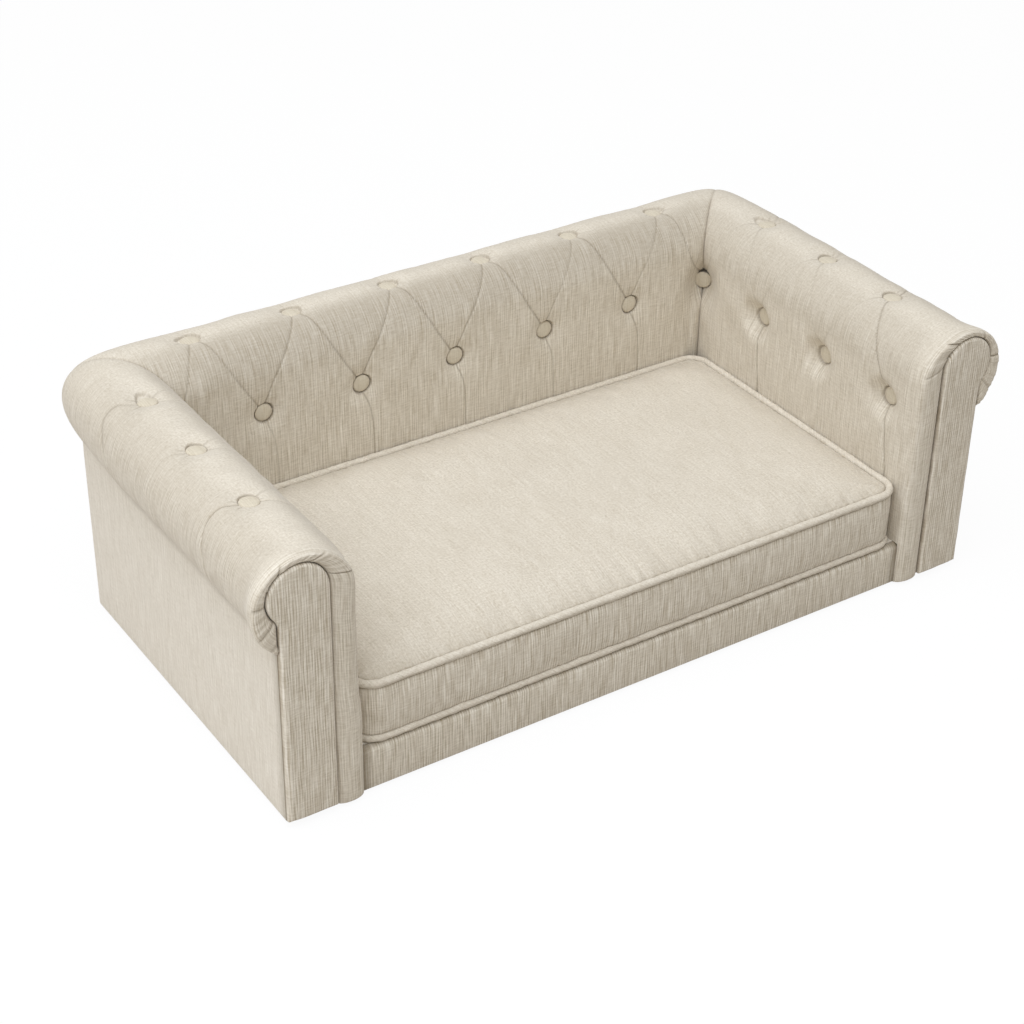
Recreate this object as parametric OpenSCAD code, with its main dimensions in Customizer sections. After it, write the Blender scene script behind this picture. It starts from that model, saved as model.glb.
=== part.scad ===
/* [Seat space] */
// Width between the inner faces of the arms
seat_w = 720; // [640:10:800]
// Depth from the front of the arm padding to the inner face of the back
seat_d = 395; // [360:5:430]
// Height of the seat deck above the floor
deck_h = 57; // [52:1:66]

/* [Arms and back] */
// Height of the arms and the back above the floor
sofa_h = 323; // [305:1:345]
// Thickness of an arm below its roll
arm_t = 90; // [86:1:100]
// Thickness of the back below its roll
back_t = 64; // [60:1:70]
// Radius of the roll along an arm
arm_roll_r = 55.5; // [52:0.5:58]
// Radius of the roll along the back
back_roll_r = 51; // [48:0.5:55]
// Thickness of the padding on the inner faces
pad_t = 33; // [30:1:36]
// Radius of the foam core inside the rolls
core_r = 24; // [18:1:25]
// Squareness of the rounded outer corner of the roll
corner_power = 6; // [4:1:8]

/* [Tufting] */
// Height of the lower row of buttons above the floor
low_row_h = 226; // [215:1:235]
// How far the padding is drawn in under a button
button_sink = 15; // [10:1:16]
// Depth of the pleats between the buttons
pleat_sink = 4.5; // [2:0.5:6]
// Depth of the seams at the two back corners
seam_sink = 6; // [3:0.5:7]
// Depth of the gathers around a facing
gather_sink = 1.8; // [0:0.2:2.4]
// Spread of the hollow around a button
hollow_r = 17; // [14:1:19]
// How far the padding is drawn in under a corner button
corner_sink = 26; // [20:1:28]
// Spread of the hollow around a corner button
corner_hollow_r = 21; // [16:1:24]
// Radius of a covered button
button_r = 11; // [9:0.5:12]
// Height of a button's dome above its edge
button_dome = 2; // [1.5:0.5:3]
// Distance of the first arm button from the front of the padding
front_button_y = 55; // [48:1:62]

/* [Facings] */
// Thickness of a facing panel
facing_t = 9; // [7:1:12]
// Radius of the round head of a facing
facing_head_r = 34; // [32:0.5:35]
// Height of a facing above the floor
facing_h = 313; // [306:1:315]
// Height of the bottom edge of a facing above the floor
facing_low = 8; // [6:1:12]
// Rounding of a facing's edges
facing_soft = 3; // [1:0.5:4]

/* [Cushion] */
// Thickness of the cushion between its two piped edges
cushion_t = 64; // [56:1:70]
// Rise of the cushion's crown above its upper piping
cushion_crown = 11; // [6:1:16]
// Radius of the cushion's corners in plan
cushion_corner_r = 28; // [22:1:40]
// Diameter of the piping cord with its cover
piping_d = 9; // [7:0.5:10]
// Gap between the cushion and what stands around it
cushion_gap = 0.8; // [0.6:0.1:3]

/* [Zip] */
// Length of the zip in the rear border
zip_len = 560; // [480:10:600]
// Width of the zip tape
zip_w = 26; // [22:1:30]
// Length of the slider along the zip
slider_len = 11; // [9:0.5:13]
// Length of the pull tab
tab_len = 8.5; // [7:0.5:9]

/* [Timber frame] */
// Thickness of the base rails
rail_t = 20; // [16:1:22]
// Thickness of the seat deck
deck_t = 7; // [5:1:9]
// Thickness of the plywood boards in the arms and the back
board_t = 9; // [6:0.5:10]
// Thickness of the outer panels with their fabric
panel_t = 6; // [4:0.5:7]
// Height of the rails under the rolls
roll_rail_h = 20; // [14:1:24]
// Thickness of the front posts of the arms
post_t = 18; // [14:1:22]
// Leg length of the corner blocks
block_l = 55; // [40:1:70]

/* [Small parts] */
// Height of the glides under the base
glide_h = 4; // [3:0.5:5]
// Radius of a glide
glide_r = 11; // [9:0.5:13]
// Radius of a frame bolt
bolt_r = 3; // [2.5:0.25:4]

/* [Hidden] */

// Clearances and small shared sizes
fit_gap = 0.3;
over = 1;
fine = 96;
lining_t = 1;
cloth_t = 1.5;
dust_t = 1;

// Colours
linen = [0.84, 0.78, 0.69];
linen_pale = [0.9, 0.86, 0.79];
linen_dark = [0.78, 0.71, 0.61];
pine = [0.83, 0.67, 0.45];
ply = [0.76, 0.6, 0.4];
foam = [0.95, 0.9, 0.7];
black_cloth = [0.16, 0.16, 0.17];
nylon = [0.2, 0.19, 0.18];
steel = [0.66, 0.66, 0.68];

half_w = seat_w / 2;

// The padding, in a section measured outward from the inner face
core_q = pad_t + core_r + fit_gap;
core_z = sofa_h - arm_roll_r;
pad_low = deck_h + fit_gap;
board_q = pad_t + fit_gap;
cavity_q = board_q + board_t;
panel_low = glide_h + fit_gap;
frame_low = glide_h + dust_t;

// Columns of tufts: even columns have a lower button, odd columns an upper one
columns = 6;
corner_button_in = 19.8;
arm_corner_in = 6.6;
back_pitch = (half_w + corner_button_in) / columns;
arm_pitch = (seat_d + arm_corner_in - front_button_y) / columns;
column_steps = 5;
band_steps = 5;
low_shares = [0, 0.45, 0.82];
arc_steps = 4;
last_column = columns - 1;
mitre_gap = 0.2;

// Rounding of the padding's front end
ring_y_shares = [0, 0.28, 1];
ring_in_shares = [1, 0.35, 0];
ring_depth = 9;
ring_in = 9;
front_step_shares = [0.35, 0.7];

function mix(a, b, share) = a + (b - a) * share;
function squareness(tilt) =
  1 / pow(pow(cos(tilt), corner_power) + pow(sin(tilt), corner_power), 1 / corner_power);
function roll_r(side) = mix(arm_roll_r, back_roll_r, side);
function roll_z(side) = sofa_h - roll_r(side);
function rise(side) = roll_z(side) - low_row_h;
function between(side) = rise(side) + roll_r(side) * PI / 2;

// Where the padding ends below the roll: on the plane of the side panel or of the back panel
function end_q(tilt, w, own_t, other_t) =
  let (s = squareness(tilt))
  tilt < 1 ? own_t / s : min(own_t / (s * cos(tilt)), (other_t + w) / (s * sin(tilt)));
function end_angle(side, tilt, w, own_t, other_t) =
  acos((end_q(tilt, w, own_t, other_t) - roll_r(side)) / roll_r(side));

// A station is [column, distance to the corner, tilt, share toward the back, inset]
function drawn(column, along, side, pitch, faded, corner) =
  let (
    at_corner = abs(abs(2 * round(column / 2)) - corner) < 0.5,
    low_sink = at_corner ? corner_sink : button_sink,
    low_r = at_corner ? corner_hollow_r : hollow_r,
    low_near = abs(column - 2 * round(column / 2)) * pitch,
    top_near = abs(column - (2 * floor(column / 2) + 1)) * pitch,
    span = between(side),
    low_hollow = low_sink * exp(-(low_near * low_near + along * along) / (2 * low_r * low_r)),
    top_gap = along - span,
    top_hollow = button_sink * exp(-(top_near * top_near + top_gap * top_gap) / (2 * hollow_r * hollow_r)),
    line = (low_near - along / span * pitch) * span / sqrt(span * span + pitch * pitch),
    reach = pleat_sink * 1.6,
    slant = along > 0 && along < span ? pleat_sink * exp(-(line * line) / (reach * reach)) : 0,
    down = along <= 0 ? pleat_sink * exp(-(low_near * low_near) / (reach * reach)) : 0,
    out = along >= span ? pleat_sink * exp(-(top_near * top_near) / (reach * reach)) : 0
  )
  max(low_hollow, top_hollow, slant, down, out) * faded;

// Outer outline of the padding at one station, as [outward, up] pairs
function outline(station, own_t, other_t, pitch, corner) =
  let (
    column = station[0],
    w = station[1],
    tilt = station[2],
    side = station[3],
    inset = station[4],
    r = roll_r(side),
    z = roll_z(side),
    span = between(side),
    last = end_angle(side, tilt, w, own_t, other_t),
    seam = tilt > 44 ? seam_sink : 0
  )
  concat(
    [for (share = low_shares)
      let (
        h = mix(pad_low, low_row_h, share),
        sink = max(seam, drawn(column, h - low_row_h, side, pitch, 1, corner)) * (share == 0 ? 0.3 : 1)
      )
      [inset + sink, h]],
    [for (i = [0:band_steps])
      let (
        along = span * i / band_steps,
        sink = max(seam, drawn(column, along, side, pitch, inset > 0 ? 0 : 1, corner)),
        turn = max(0, (along - rise(side)) / r * 180 / PI),
        a = 180 - turn
      )
      [r + (r - inset - sink) * cos(a),
       (turn > 0 ? z : low_row_h + along) + (r - inset - sink) * sin(a)]],
    [for (i = [1:band_steps])
      let (
        a = mix(90, -last, i / band_steps),
        along = span + r * (90 - a) * PI / 180,
        fold = inset > 0 && inset < ring_in && i % 2 == 1 ? gather_sink : 0,
        sink = max(seam, fold, drawn(column, along, side, pitch, inset > 0 ? 0 : 1, corner))
          * (i == band_steps ? 0.5 : 1)
      )
      [r + (r - inset - sink) * cos(a), z + (r - inset - sink) * sin(a)]]
  );

// Inner outline of the padding, which wraps the board and the roll core
function lining(last) =
  let (step = (180 + last) / arc_steps, clear_r = core_r + 2 * fit_gap)
  concat(
    [[pad_t, pad_low]],
    [for (k = [0:arc_steps - 1])
      let (a = 180 - step * (k + 0.5))
      [core_q + clear_r / cos(step / 2) * cos(a), core_z + clear_r / cos(step / 2) * sin(a)]],
    [[core_q + clear_r * cos(last), core_z - clear_r * sin(last)]]
  );

outer_n = len(low_shares) + 2 * band_steps + 1;
inner_n = arc_steps + 2;
ring_n = outer_n + inner_n;

// Faces of a padding skin that runs through all its stations
function skin_faces(count, columns_at) =
  let (
    outer = [for (i = [0:count - 2]) for (v = [0:outer_n - 2])
      let (
        a = i * ring_n + v,
        b = a + ring_n,
        mid = (columns_at[i] + columns_at[i + 1]) / 2,
        even = floor(mid) % 2 == 0,
        rising = columns_at[i + 1] > columns_at[i] ? even : !even
      )
      each (rising ? [[a, a + 1, b + 1], [a, b + 1, b]] : [[a, a + 1, b], [a + 1, b + 1, b]])],
    inner = [for (i = [0:count - 2]) for (m = [0:inner_n - 2])
      let (a = i * ring_n + outer_n + m, b = a + ring_n)
      each [[a, b + 1, a + 1], [a, b, b + 1]]],
    low = [for (i = [0:count - 2])
      let (a = i * ring_n, b = a + ring_n)
      each [[a, b, b + outer_n], [a, b + outer_n, a + outer_n]]],
    high = [for (i = [0:count - 2])
      let (a = i * ring_n + outer_n - 1, b = a + ring_n, c = i * ring_n + ring_n - 1, d = c + ring_n)
      each [[a, c, d], [a, d, b]]],
    caps = [for (end = [0, 1])
      let (base = end * (count - 1) * ring_n)
      for (v = [0:outer_n - 2])
      let (
        m = round(v * (inner_n - 1) / (outer_n - 1)),
        n = round((v + 1) * (inner_n - 1) / (outer_n - 1)),
        first = [base + v, base + outer_n + m, base + v + 1],
        second = [base + v + 1, base + outer_n + m, base + outer_n + n]
      )
      each concat(
        [end == 0 ? first : [first[0], first[2], first[1]]],
        m == n ? [] : [end == 0 ? second : [second[0], second[2], second[1]]])]
  )
  concat(outer, inner, low, high, caps);

// Stations along an arm, from the corner seam to the front
corner_span = seat_d - (front_button_y + last_column * arm_pitch);
corner_turn = 45;
arm_stations = concat(
  [for (i = [0:column_steps - 1])
    let (share = i / column_steps)
    [share, corner_span * share + (i == 0 ? mitre_gap : 0), corner_turn * (1 - share), 0.5 * (1 - share), 0]],
  [for (c = [1:columns - 1]) for (i = [0:column_steps - 1])
    let (share = i / column_steps)
    [c + share, corner_span + (c - 1 + share) * arm_pitch, 0, 0, 0]],
  [for (share = concat([0], front_step_shares))
    [columns + share * (front_button_y - ring_depth) / arm_pitch,
     seat_d - front_button_y + share * (front_button_y - ring_depth), 0, 0, 0]],
  [for (i = [len(ring_y_shares) - 1:-1:0])
    [columns + (front_button_y - ring_depth * ring_y_shares[i]) / arm_pitch,
     seat_d - ring_depth * ring_y_shares[i], 0, 0, ring_in * ring_in_shares[i]]]
);

// Stations along the back, from the left corner seam to the right one
back_corner_span = half_w - last_column * back_pitch;
back_half = concat(
  [for (i = [0:column_steps - 1])
    let (share = i / column_steps)
    [columns - share, back_corner_span * share + (i == 0 ? mitre_gap : 0), corner_turn * (1 - share),
     1 - 0.5 * (1 - share), 0]],
  [for (c = [last_column:-1:1]) for (i = [0:column_steps - 1])
    let (share = i / column_steps)
    [c - share, half_w - (c - share) * back_pitch, 0, 1, 0]]
);
back_stations = concat(
  [for (s = back_half) concat(s, [-1])],
  [[0, half_w, 0, 1, 0, 1]],
  [for (i = [len(back_half) - 1:-1:0]) concat(back_half[i], [1])]
);

// Places along the depth, measured from the middle of the whole sofa
back_reach = max([for (s = back_stations) for (p = outline(s, back_t, arm_t, back_pitch, columns))
  p[0] * squareness(s[2]) * cos(s[2])]);
sofa_d = facing_t + seat_d + back_reach;
front_y = facing_t - sofa_d / 2;
wall_y = front_y + seat_d;

function arm_points() = [for (s = arm_stations)
  let (
    tilt = s[2],
    far = squareness(tilt),
    last = end_angle(s[3], tilt, s[1], arm_t, back_t)
  )
  each concat(
    [for (p = outline(s, arm_t, back_t, arm_pitch, 0))
      [-half_w - p[0] * far * cos(tilt), wall_y - s[1] + p[0] * far * sin(tilt), p[1]]],
    [for (p = lining(last))
      [-half_w - p[0], wall_y - s[1] + p[0] * tan(tilt), p[1]]])];

function back_points() = [for (s = back_stations)
  let (
    tilt = s[2],
    hand = s[5],
    far = squareness(tilt),
    last = end_angle(s[3], tilt, s[1], back_t, arm_t)
  )
  each concat(
    [for (p = outline(s, back_t, arm_t, back_pitch, columns))
      [hand * (half_w - s[1] + p[0] * far * sin(tilt)), wall_y + p[0] * far * cos(tilt), p[1]]],
    [for (p = lining(last))
      [hand * (half_w - s[1] + p[0] * tan(tilt)), wall_y + p[0], p[1]]])];

// The arm's stations run toward the front, so its faces are turned over
module arm_skin() {
  polyhedron(
    points = arm_points(),
    faces = [for (f = skin_faces(len(arm_stations), [for (s = arm_stations) s[0]])) [f[2], f[1], f[0]]]);
}

module back_skin() {
  polyhedron(
    points = back_points(),
    faces = skin_faces(len(back_stations), [for (s = back_stations) s[5] * s[0]]));
}

// Repeats its child on both sides
module both_sides() {
  children();
  mirror([1, 0, 0]) children();
}

// Box from two opposite corners
module box(low, high) {
  translate(low) cube(high - low);
}

// Box in arm coordinates: outward from the inner face of the left arm, along the depth, up
module arm_box(q, y, z) {
  box([-half_w - q[1], y[0], z[0]], [-half_w - q[0], y[1], z[1]]);
}

// Box in back coordinates: across, outward from the inner face of the back, up
module back_box(x, q, z) {
  box([x[0], wall_y + q[0], z[0]], [x[1], wall_y + q[1], z[1]]);
}

// Quarter of a disc in the first quadrant
module quarter(r) {
  intersection() {
    circle(r = r, $fn = fine);
    square([r, r]);
  }
}

// Base frame
rail_q = board_q - rail_t;
rail_top = deck_h - deck_t;
rail_front_y = front_y + ring_depth + over;
rail_side_x = half_w + rail_q;
rail_back_y = wall_y + rail_q;
glide_xs = [-half_w, 0, half_w];
glide_inset = rail_t / 2;
glide_stem_r = 2;
glide_stem_l = 14;
stem_fit = 0.1;

module front_rail_solid() {
  box([-rail_side_x, rail_front_y, frame_low], [rail_side_x, rail_front_y + rail_t, rail_top]);
}

module back_rail_solid() {
  box([-rail_side_x, rail_back_y, frame_low], [rail_side_x, rail_back_y + rail_t, rail_top]);
}

glide_places = concat(
  [for (x = glide_xs) [x, rail_front_y + glide_inset]],
  [for (x = glide_xs) [x, rail_back_y + glide_inset]],
  [[0, 0]]);

module glide_stems(r, top) {
  for (p = glide_places) {
    translate([p[0], p[1], glide_h]) cylinder(r = r, h = top - glide_h, $fn = fine);
  }
}

module front_rail() {
  color(pine) difference() {
    front_rail_solid();
    glide_stems(glide_stem_r + stem_fit, glide_h + glide_stem_l + fit_gap);
  }
}

module back_rail() {
  color(pine) difference() {
    back_rail_solid();
    glide_stems(glide_stem_r + stem_fit, glide_h + glide_stem_l + fit_gap);
  }
}

bolt_ys = [for (share = [0.18, 0.5, 0.82]) mix(rail_front_y + rail_t, rail_back_y, share)];
bolt_z = (frame_low + rail_top) / 2;
bolt_head_r = 2 * bolt_r;
bolt_head_h = 1.2 * bolt_r;
bolt_fit = 0.15;
bolt_end_q = cavity_q + 2 * bolt_head_h + over;

module bolt_holes(r) {
  for (y = bolt_ys) {
    translate([-half_w - bolt_end_q, y, bolt_z]) rotate([0, 90, 0])
      cylinder(r = r, h = bolt_end_q - rail_q + over, $fn = fine);
  }
}

module side_rail_solid() {
  difference() {
    arm_box([rail_q, board_q], [rail_front_y + rail_t, rail_back_y], [frame_low, rail_top]);
    bolt_holes(bolt_r + bolt_fit);
  }
}

module left_side_rail() {
  color(pine) side_rail_solid();
}

module right_side_rail() {
  color(pine) mirror([1, 0, 0]) side_rail_solid();
}

module middle_rail() {
  color(pine) difference() {
    box([-rail_t / 2, rail_front_y + rail_t, frame_low], [rail_t / 2, rail_back_y, rail_top]);
    glide_stems(glide_stem_r + stem_fit, glide_h + glide_stem_l + fit_gap);
  }
}

module corner_block() {
  translate([-half_w - rail_q, rail_front_y + rail_t, frame_low])
    linear_extrude(height = rail_top - frame_low)
      polygon([[0, 0], [block_l, 0], [0, block_l]]);
}

module corner_blocks() {
  color(pine) both_sides() {
    corner_block();
    translate([0, rail_front_y + rail_t + rail_back_y, 0]) mirror([0, 1, 0]) corner_block();
  }
}

module seat_deck() {
  color(ply)
    box([-half_w - board_q, rail_front_y, rail_top], [half_w + board_q, wall_y + board_q, deck_h - lining_t]);
}

module deck_lining() {
  color(black_cloth)
    box([-half_w, rail_front_y, deck_h - lining_t], [half_w, wall_y, deck_h]);
}

module dust_cover() {
  color(black_cloth) difference() {
    box([-half_w - arm_panel_q + fit_gap, rail_front_y, glide_h],
      [half_w + arm_panel_q - fit_gap, wall_y + back_panel_q - fit_gap, frame_low]);
    glide_stems(glide_stem_r + stem_fit, frame_low + over);
  }
}

module glides() {
  color(nylon) {
    for (p = glide_places) {
      translate([p[0], p[1], 0]) {
        cylinder(r = glide_r, h = glide_h, $fn = fine);
        cylinder(r = glide_stem_r, h = glide_h + glide_stem_l, $fn = fine);
      }
    }
  }
}

// Apron: a padded strip with a rounded upper edge
apron_r = ring_depth - 2;

module apron() {
  color(linen_dark)
    translate([-half_w + fit_gap, 0, 0]) rotate([90, 0, 90])
      linear_extrude(height = seat_w - 2 * fit_gap) union() {
        translate([front_y, panel_low]) square([ring_depth, deck_h - panel_low - apron_r]);
        translate([front_y + apron_r, panel_low]) square([ring_depth - apron_r, deck_h - panel_low]);
        translate([front_y + apron_r, deck_h - apron_r]) mirror([1, 0]) quarter(apron_r);
      }
}

// Arm frames
board_top = core_z - core_r - fit_gap;
post_y = front_y + post_t;
arm_panel_q = arm_t - panel_t;
back_panel_q = back_t - panel_t;

module arm_board_solid() {
  difference() {
    arm_box([board_q, cavity_q], [front_y, wall_y + board_q], [frame_low, board_top]);
    bolt_holes(bolt_r + bolt_fit);
  }
}

module left_arm_board() {
  color(ply) arm_board_solid();
}

module right_arm_board() {
  color(ply) mirror([1, 0, 0]) arm_board_solid();
}

module front_post_solid() {
  arm_box([cavity_q, arm_panel_q], [front_y, post_y], [frame_low, board_top - roll_rail_h]);
}

module left_front_post() {
  color(pine) front_post_solid();
}

module right_front_post() {
  color(pine) mirror([1, 0, 0]) front_post_solid();
}

module back_post_solid() {
  arm_box([cavity_q, arm_panel_q], [wall_y + cavity_q, wall_y + back_panel_q],
    [frame_low, board_top - roll_rail_h]);
}

module left_back_post() {
  color(pine) back_post_solid();
}

module right_back_post() {
  color(pine) mirror([1, 0, 0]) back_post_solid();
}

module roll_rail_solid() {
  arm_box([cavity_q, arm_panel_q - roll_rail_h / 2], [front_y, wall_y + board_q],
    [board_top - roll_rail_h, board_top]);
}

module left_roll_rail() {
  color(pine) roll_rail_solid();
}

module right_roll_rail() {
  color(pine) mirror([1, 0, 0]) roll_rail_solid();
}

module arm_core_solid() {
  difference() {
    translate([-half_w - core_q, front_y, core_z]) rotate([-90, 0, 0])
      cylinder(r = core_r, h = seat_d + core_q + core_r + over, $fn = fine);
    translate([-half_w, wall_y - mitre_gap, core_z - core_r - over]) rotate([0, 0, 45])
      box([-sofa_h, 0, 0], [sofa_h, sofa_h, 2 * core_r + 2 * over]);
  }
}

module left_roll_core() {
  color(foam) arm_core_solid();
}

module right_roll_core() {
  color(foam) mirror([1, 0, 0]) arm_core_solid();
}

// Back frame
back_half_x = half_w + core_q + core_r + over;

module back_board() {
  color(ply) union() {
    back_box([-half_w - cavity_q, half_w + cavity_q], [board_q, cavity_q], [frame_low, board_top]);
    back_box([-half_w - arm_panel_q, half_w + arm_panel_q], [board_q, cavity_q],
      [frame_low, board_top - roll_rail_h]);
  }
}

stile_w = 2 * rail_t;
stile_xs = [-half_w / 3, half_w / 3];

module back_stiles() {
  color(pine) {
    for (x = stile_xs) {
      back_box([x - stile_w / 2, x + stile_w / 2], [cavity_q, back_panel_q], [frame_low, board_top - roll_rail_h]);
    }
  }
}

module back_roll_rail() {
  color(pine)
    back_box([-half_w - board_q, half_w + board_q], [cavity_q, back_panel_q], [board_top - roll_rail_h, board_top]);
}

module back_roll_core() {
  color(foam) difference() {
    translate([-back_half_x, wall_y + core_q, core_z]) rotate([0, 90, 0])
      cylinder(r = core_r, h = 2 * back_half_x, $fn = fine);
    both_sides() {
      translate([-half_w - mitre_gap, wall_y, core_z - core_r - over]) rotate([0, 0, 135])
        box([-sofa_h, 0, 0], [sofa_h, sofa_h, 2 * core_r + 2 * over]);
    }
  }
}

// Bolts from the base into the arm boards
module arm_bolt_solid() {
  for (y = bolt_ys) {
    translate([-half_w, y, bolt_z]) rotate([0, -90, 0]) {
      translate([0, 0, rail_q - bolt_head_h]) cylinder(r = bolt_head_r, h = bolt_head_h, $fn = fine);
      translate([0, 0, rail_q - over]) cylinder(r = bolt_r, h = bolt_end_q - over - rail_q, $fn = fine);
      translate([0, 0, cavity_q]) cylinder(r = bolt_head_r, h = bolt_head_h, $fn = fine);
    }
  }
}

module left_arm_bolts() {
  color(steel) arm_bolt_solid();
}

module right_arm_bolts() {
  color(steel) mirror([1, 0, 0]) arm_bolt_solid();
}

// Padding and outer panels
module left_arm_padding() {
  color(linen_pale) arm_skin();
}

module right_arm_padding() {
  color(linen_pale) mirror([1, 0, 0]) arm_skin();
}

module back_padding() {
  color(linen_pale) back_skin();
}

strip_r = ring_depth - 1;

module front_strip_solid() {
  translate([-half_w, front_y, panel_low]) linear_extrude(height = deck_h - panel_low) union() {
    translate([-pad_t, 0]) square([pad_t - strip_r, ring_depth + over]);
    translate([-strip_r - over, strip_r]) square([strip_r + over, ring_depth + over - strip_r]);
    translate([-strip_r, strip_r]) mirror([0, 1]) quarter(strip_r);
  }
}

module left_front_strip() {
  color(linen_dark) front_strip_solid();
}

module right_front_strip() {
  color(linen_dark) mirror([1, 0, 0]) front_strip_solid();
}

// Upper edges of the outer panels follow the end of the padding
arm_edge = [for (s = arm_stations)
  if (s[4] == 0)
    let (p = outline(s, arm_t, back_t, arm_pitch, 0)[outer_n - 1], far = squareness(s[2]))
    [wall_y - s[1] + p[0] * far * sin(s[2]), p[1]]];
back_edge = [for (s = back_stations)
  let (p = outline(s, back_t, arm_t, back_pitch, columns)[outer_n - 1], far = squareness(s[2]))
  [s[5] * (half_w - s[1] + p[0] * far * sin(s[2])), p[1]]];
panel_top = min([for (p = arm_edge) p[1]]) - fit_gap;
back_panel_top = min([for (p = back_edge) p[1]]) - fit_gap;

module side_panel_solid() {
  arm_box([arm_panel_q, arm_t], [front_y, wall_y + back_t], [panel_low, panel_top]);
}

module left_side_panel() {
  color(linen) side_panel_solid();
}

module right_side_panel() {
  color(linen) mirror([1, 0, 0]) side_panel_solid();
}

module back_panel() {
  color(linen)
    back_box([-half_w - arm_panel_q, half_w + arm_panel_q], [back_panel_q, back_t], [panel_low, back_panel_top]);
}

// Facing: a club shape with a round head over a straight stem
head_z = facing_h - facing_head_r;
head_q = pad_t + facing_head_r;

module facing_outline(inset) {
  translate([-half_w - head_q, head_z]) circle(r = facing_head_r - inset, $fn = fine);
  translate([-half_w - head_q, facing_low + inset]) square([facing_head_r - inset, head_z - facing_low - inset]);
  translate([-half_w - arm_t + inset, facing_low + inset])
    square([arm_t - head_q - inset + over, head_z - facing_low - inset - facing_head_r / 2]);
}

module facing_solid() {
  translate([0, front_y, 0]) rotate([90, 0, 0]) union() {
    linear_extrude(height = facing_t - facing_soft) facing_outline(0);
    linear_extrude(height = facing_t - facing_soft / 2) facing_outline(facing_soft / 4);
    linear_extrude(height = facing_t) facing_outline(facing_soft);
  }
}

module left_facing() {
  color(linen_dark) facing_solid();
}

module right_facing() {
  color(linen_dark) mirror([1, 0, 0]) facing_solid();
}

// Covered buttons: a cone seated in the hollow under a flat dome
button_seat = 4.4;
button_lift = 1;
button_edge = 1;
dome_ball_r = (button_r * button_r + button_dome * button_dome) / (2 * button_dome);

module button_solid() {
  translate([0, 0, button_lift]) {
    cylinder(r1 = button_r / 6, r2 = button_r, h = button_seat, $fn = fine);
    translate([0, 0, button_seat]) cylinder(r = button_r, h = button_edge, $fn = fine);
    translate([0, 0, button_seat + button_edge]) intersection() {
      translate([0, 0, button_dome - dome_ball_r]) sphere(r = dome_ball_r, $fn = fine);
      cylinder(r = button_r, h = button_dome + over, $fn = fine);
    }
  }
}

arm_top_z = sofa_h - button_sink;
low_q = button_sink;
corner_seat_share = 0.68;
corner_low_q = corner_sink * squareness(45) * corner_seat_share;

module back_low_buttons() {
  color(linen_pale) {
    for (c = [-columns + 2:2:columns - 2]) {
      translate([c * back_pitch, wall_y + low_q, low_row_h]) rotate([90, 0, 0]) button_solid();
    }
  }
}

module corner_buttons() {
  color(linen_pale) both_sides() {
    translate([-half_w - corner_low_q * cos(45), wall_y + corner_low_q * sin(45), low_row_h])
      rotate([0, 0, 45]) rotate([90, 0, 0]) button_solid();
  }
}

module back_top_buttons() {
  color(linen_pale) {
    for (c = [-columns + 1:2:columns - 1]) {
      translate([c * back_pitch, wall_y + back_roll_r, arm_top_z]) button_solid();
    }
  }
}

module low_buttons_solid() {
  for (c = [2:2:columns]) {
    translate([-half_w - low_q, wall_y - corner_span - (c - 1) * arm_pitch, low_row_h])
      rotate([0, 90, 0]) button_solid();
  }
}

module top_buttons_solid() {
  for (c = [1:2:columns - 1]) {
    translate([-half_w - arm_roll_r, wall_y - corner_span - (c - 1) * arm_pitch, arm_top_z]) button_solid();
  }
}

module left_low_buttons() {
  color(linen_pale) low_buttons_solid();
}

module left_top_buttons() {
  color(linen_pale) top_buttons_solid();
}

module right_low_buttons() {
  color(linen_pale) mirror([1, 0, 0]) low_buttons_solid();
}

module right_top_buttons() {
  color(linen_pale) mirror([1, 0, 0]) top_buttons_solid();
}

// Cushion
pipe_r = piping_d / 2;
cushion_z = deck_h + fit_gap;
cushion_half_w = half_w - cushion_gap;
cushion_front_y = front_y + over;
cushion_back_y = wall_y - cushion_gap;
cushion_half_d = (cushion_back_y - cushion_front_y) / 2;
cushion_mid_y = (cushion_back_y + cushion_front_y) / 2;
low_pipe_z = cushion_z + pipe_r;
top_pipe_z = cushion_z + cushion_t + piping_d;
border_low = cushion_z + piping_d + fit_gap;
border_high = top_pipe_z - pipe_r - fit_gap;
border_in = pipe_r / 2;

// Rounded rectangle in plan, drawn in by a margin
module cushion_plan(margin) {
  r = cushion_corner_r - margin;
  x = cushion_half_w - cushion_corner_r;
  y = cushion_half_d - cushion_corner_r;
  translate([0, cushion_mid_y]) union() {
    for (i = [-1, 1]) {
      for (j = [-1, 1]) {
        translate([i * x, j * y]) circle(r = r, $fn = fine);
      }
    }
    square([2 * x, 2 * (y + r)], center = true);
    square([2 * (x + r), 2 * y], center = true);
  }
}

module cushion_ring(z, high, outer, inner) {
  translate([0, 0, z]) linear_extrude(height = high) difference() {
    cushion_plan(outer);
    cushion_plan(inner);
  }
}

// Piping cord that runs around the cushion
module piping_loop(z) {
  x = cushion_half_w - cushion_corner_r;
  y = cushion_half_d - cushion_corner_r;
  path_r = cushion_corner_r - pipe_r;
  translate([0, cushion_mid_y, z]) {
    for (i = [-1, 1]) {
      translate([i * (x + path_r), -y, 0]) rotate([-90, 0, 0]) cylinder(r = pipe_r, h = 2 * y, $fn = fine);
      translate([-x, i * (y + path_r), 0]) rotate([0, 90, 0]) cylinder(r = pipe_r, h = 2 * x, $fn = fine);
    }
    for (k = [[1, 1, 0], [-1, 1, 90], [-1, -1, 180], [1, -1, 270]]) {
      translate([k[0] * x, k[1] * y, 0]) rotate([0, 0, k[2]])
        rotate_extrude(angle = 90, $fn = fine) translate([path_r, 0]) circle(r = pipe_r, $fn = fine);
    }
  }
}

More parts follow.
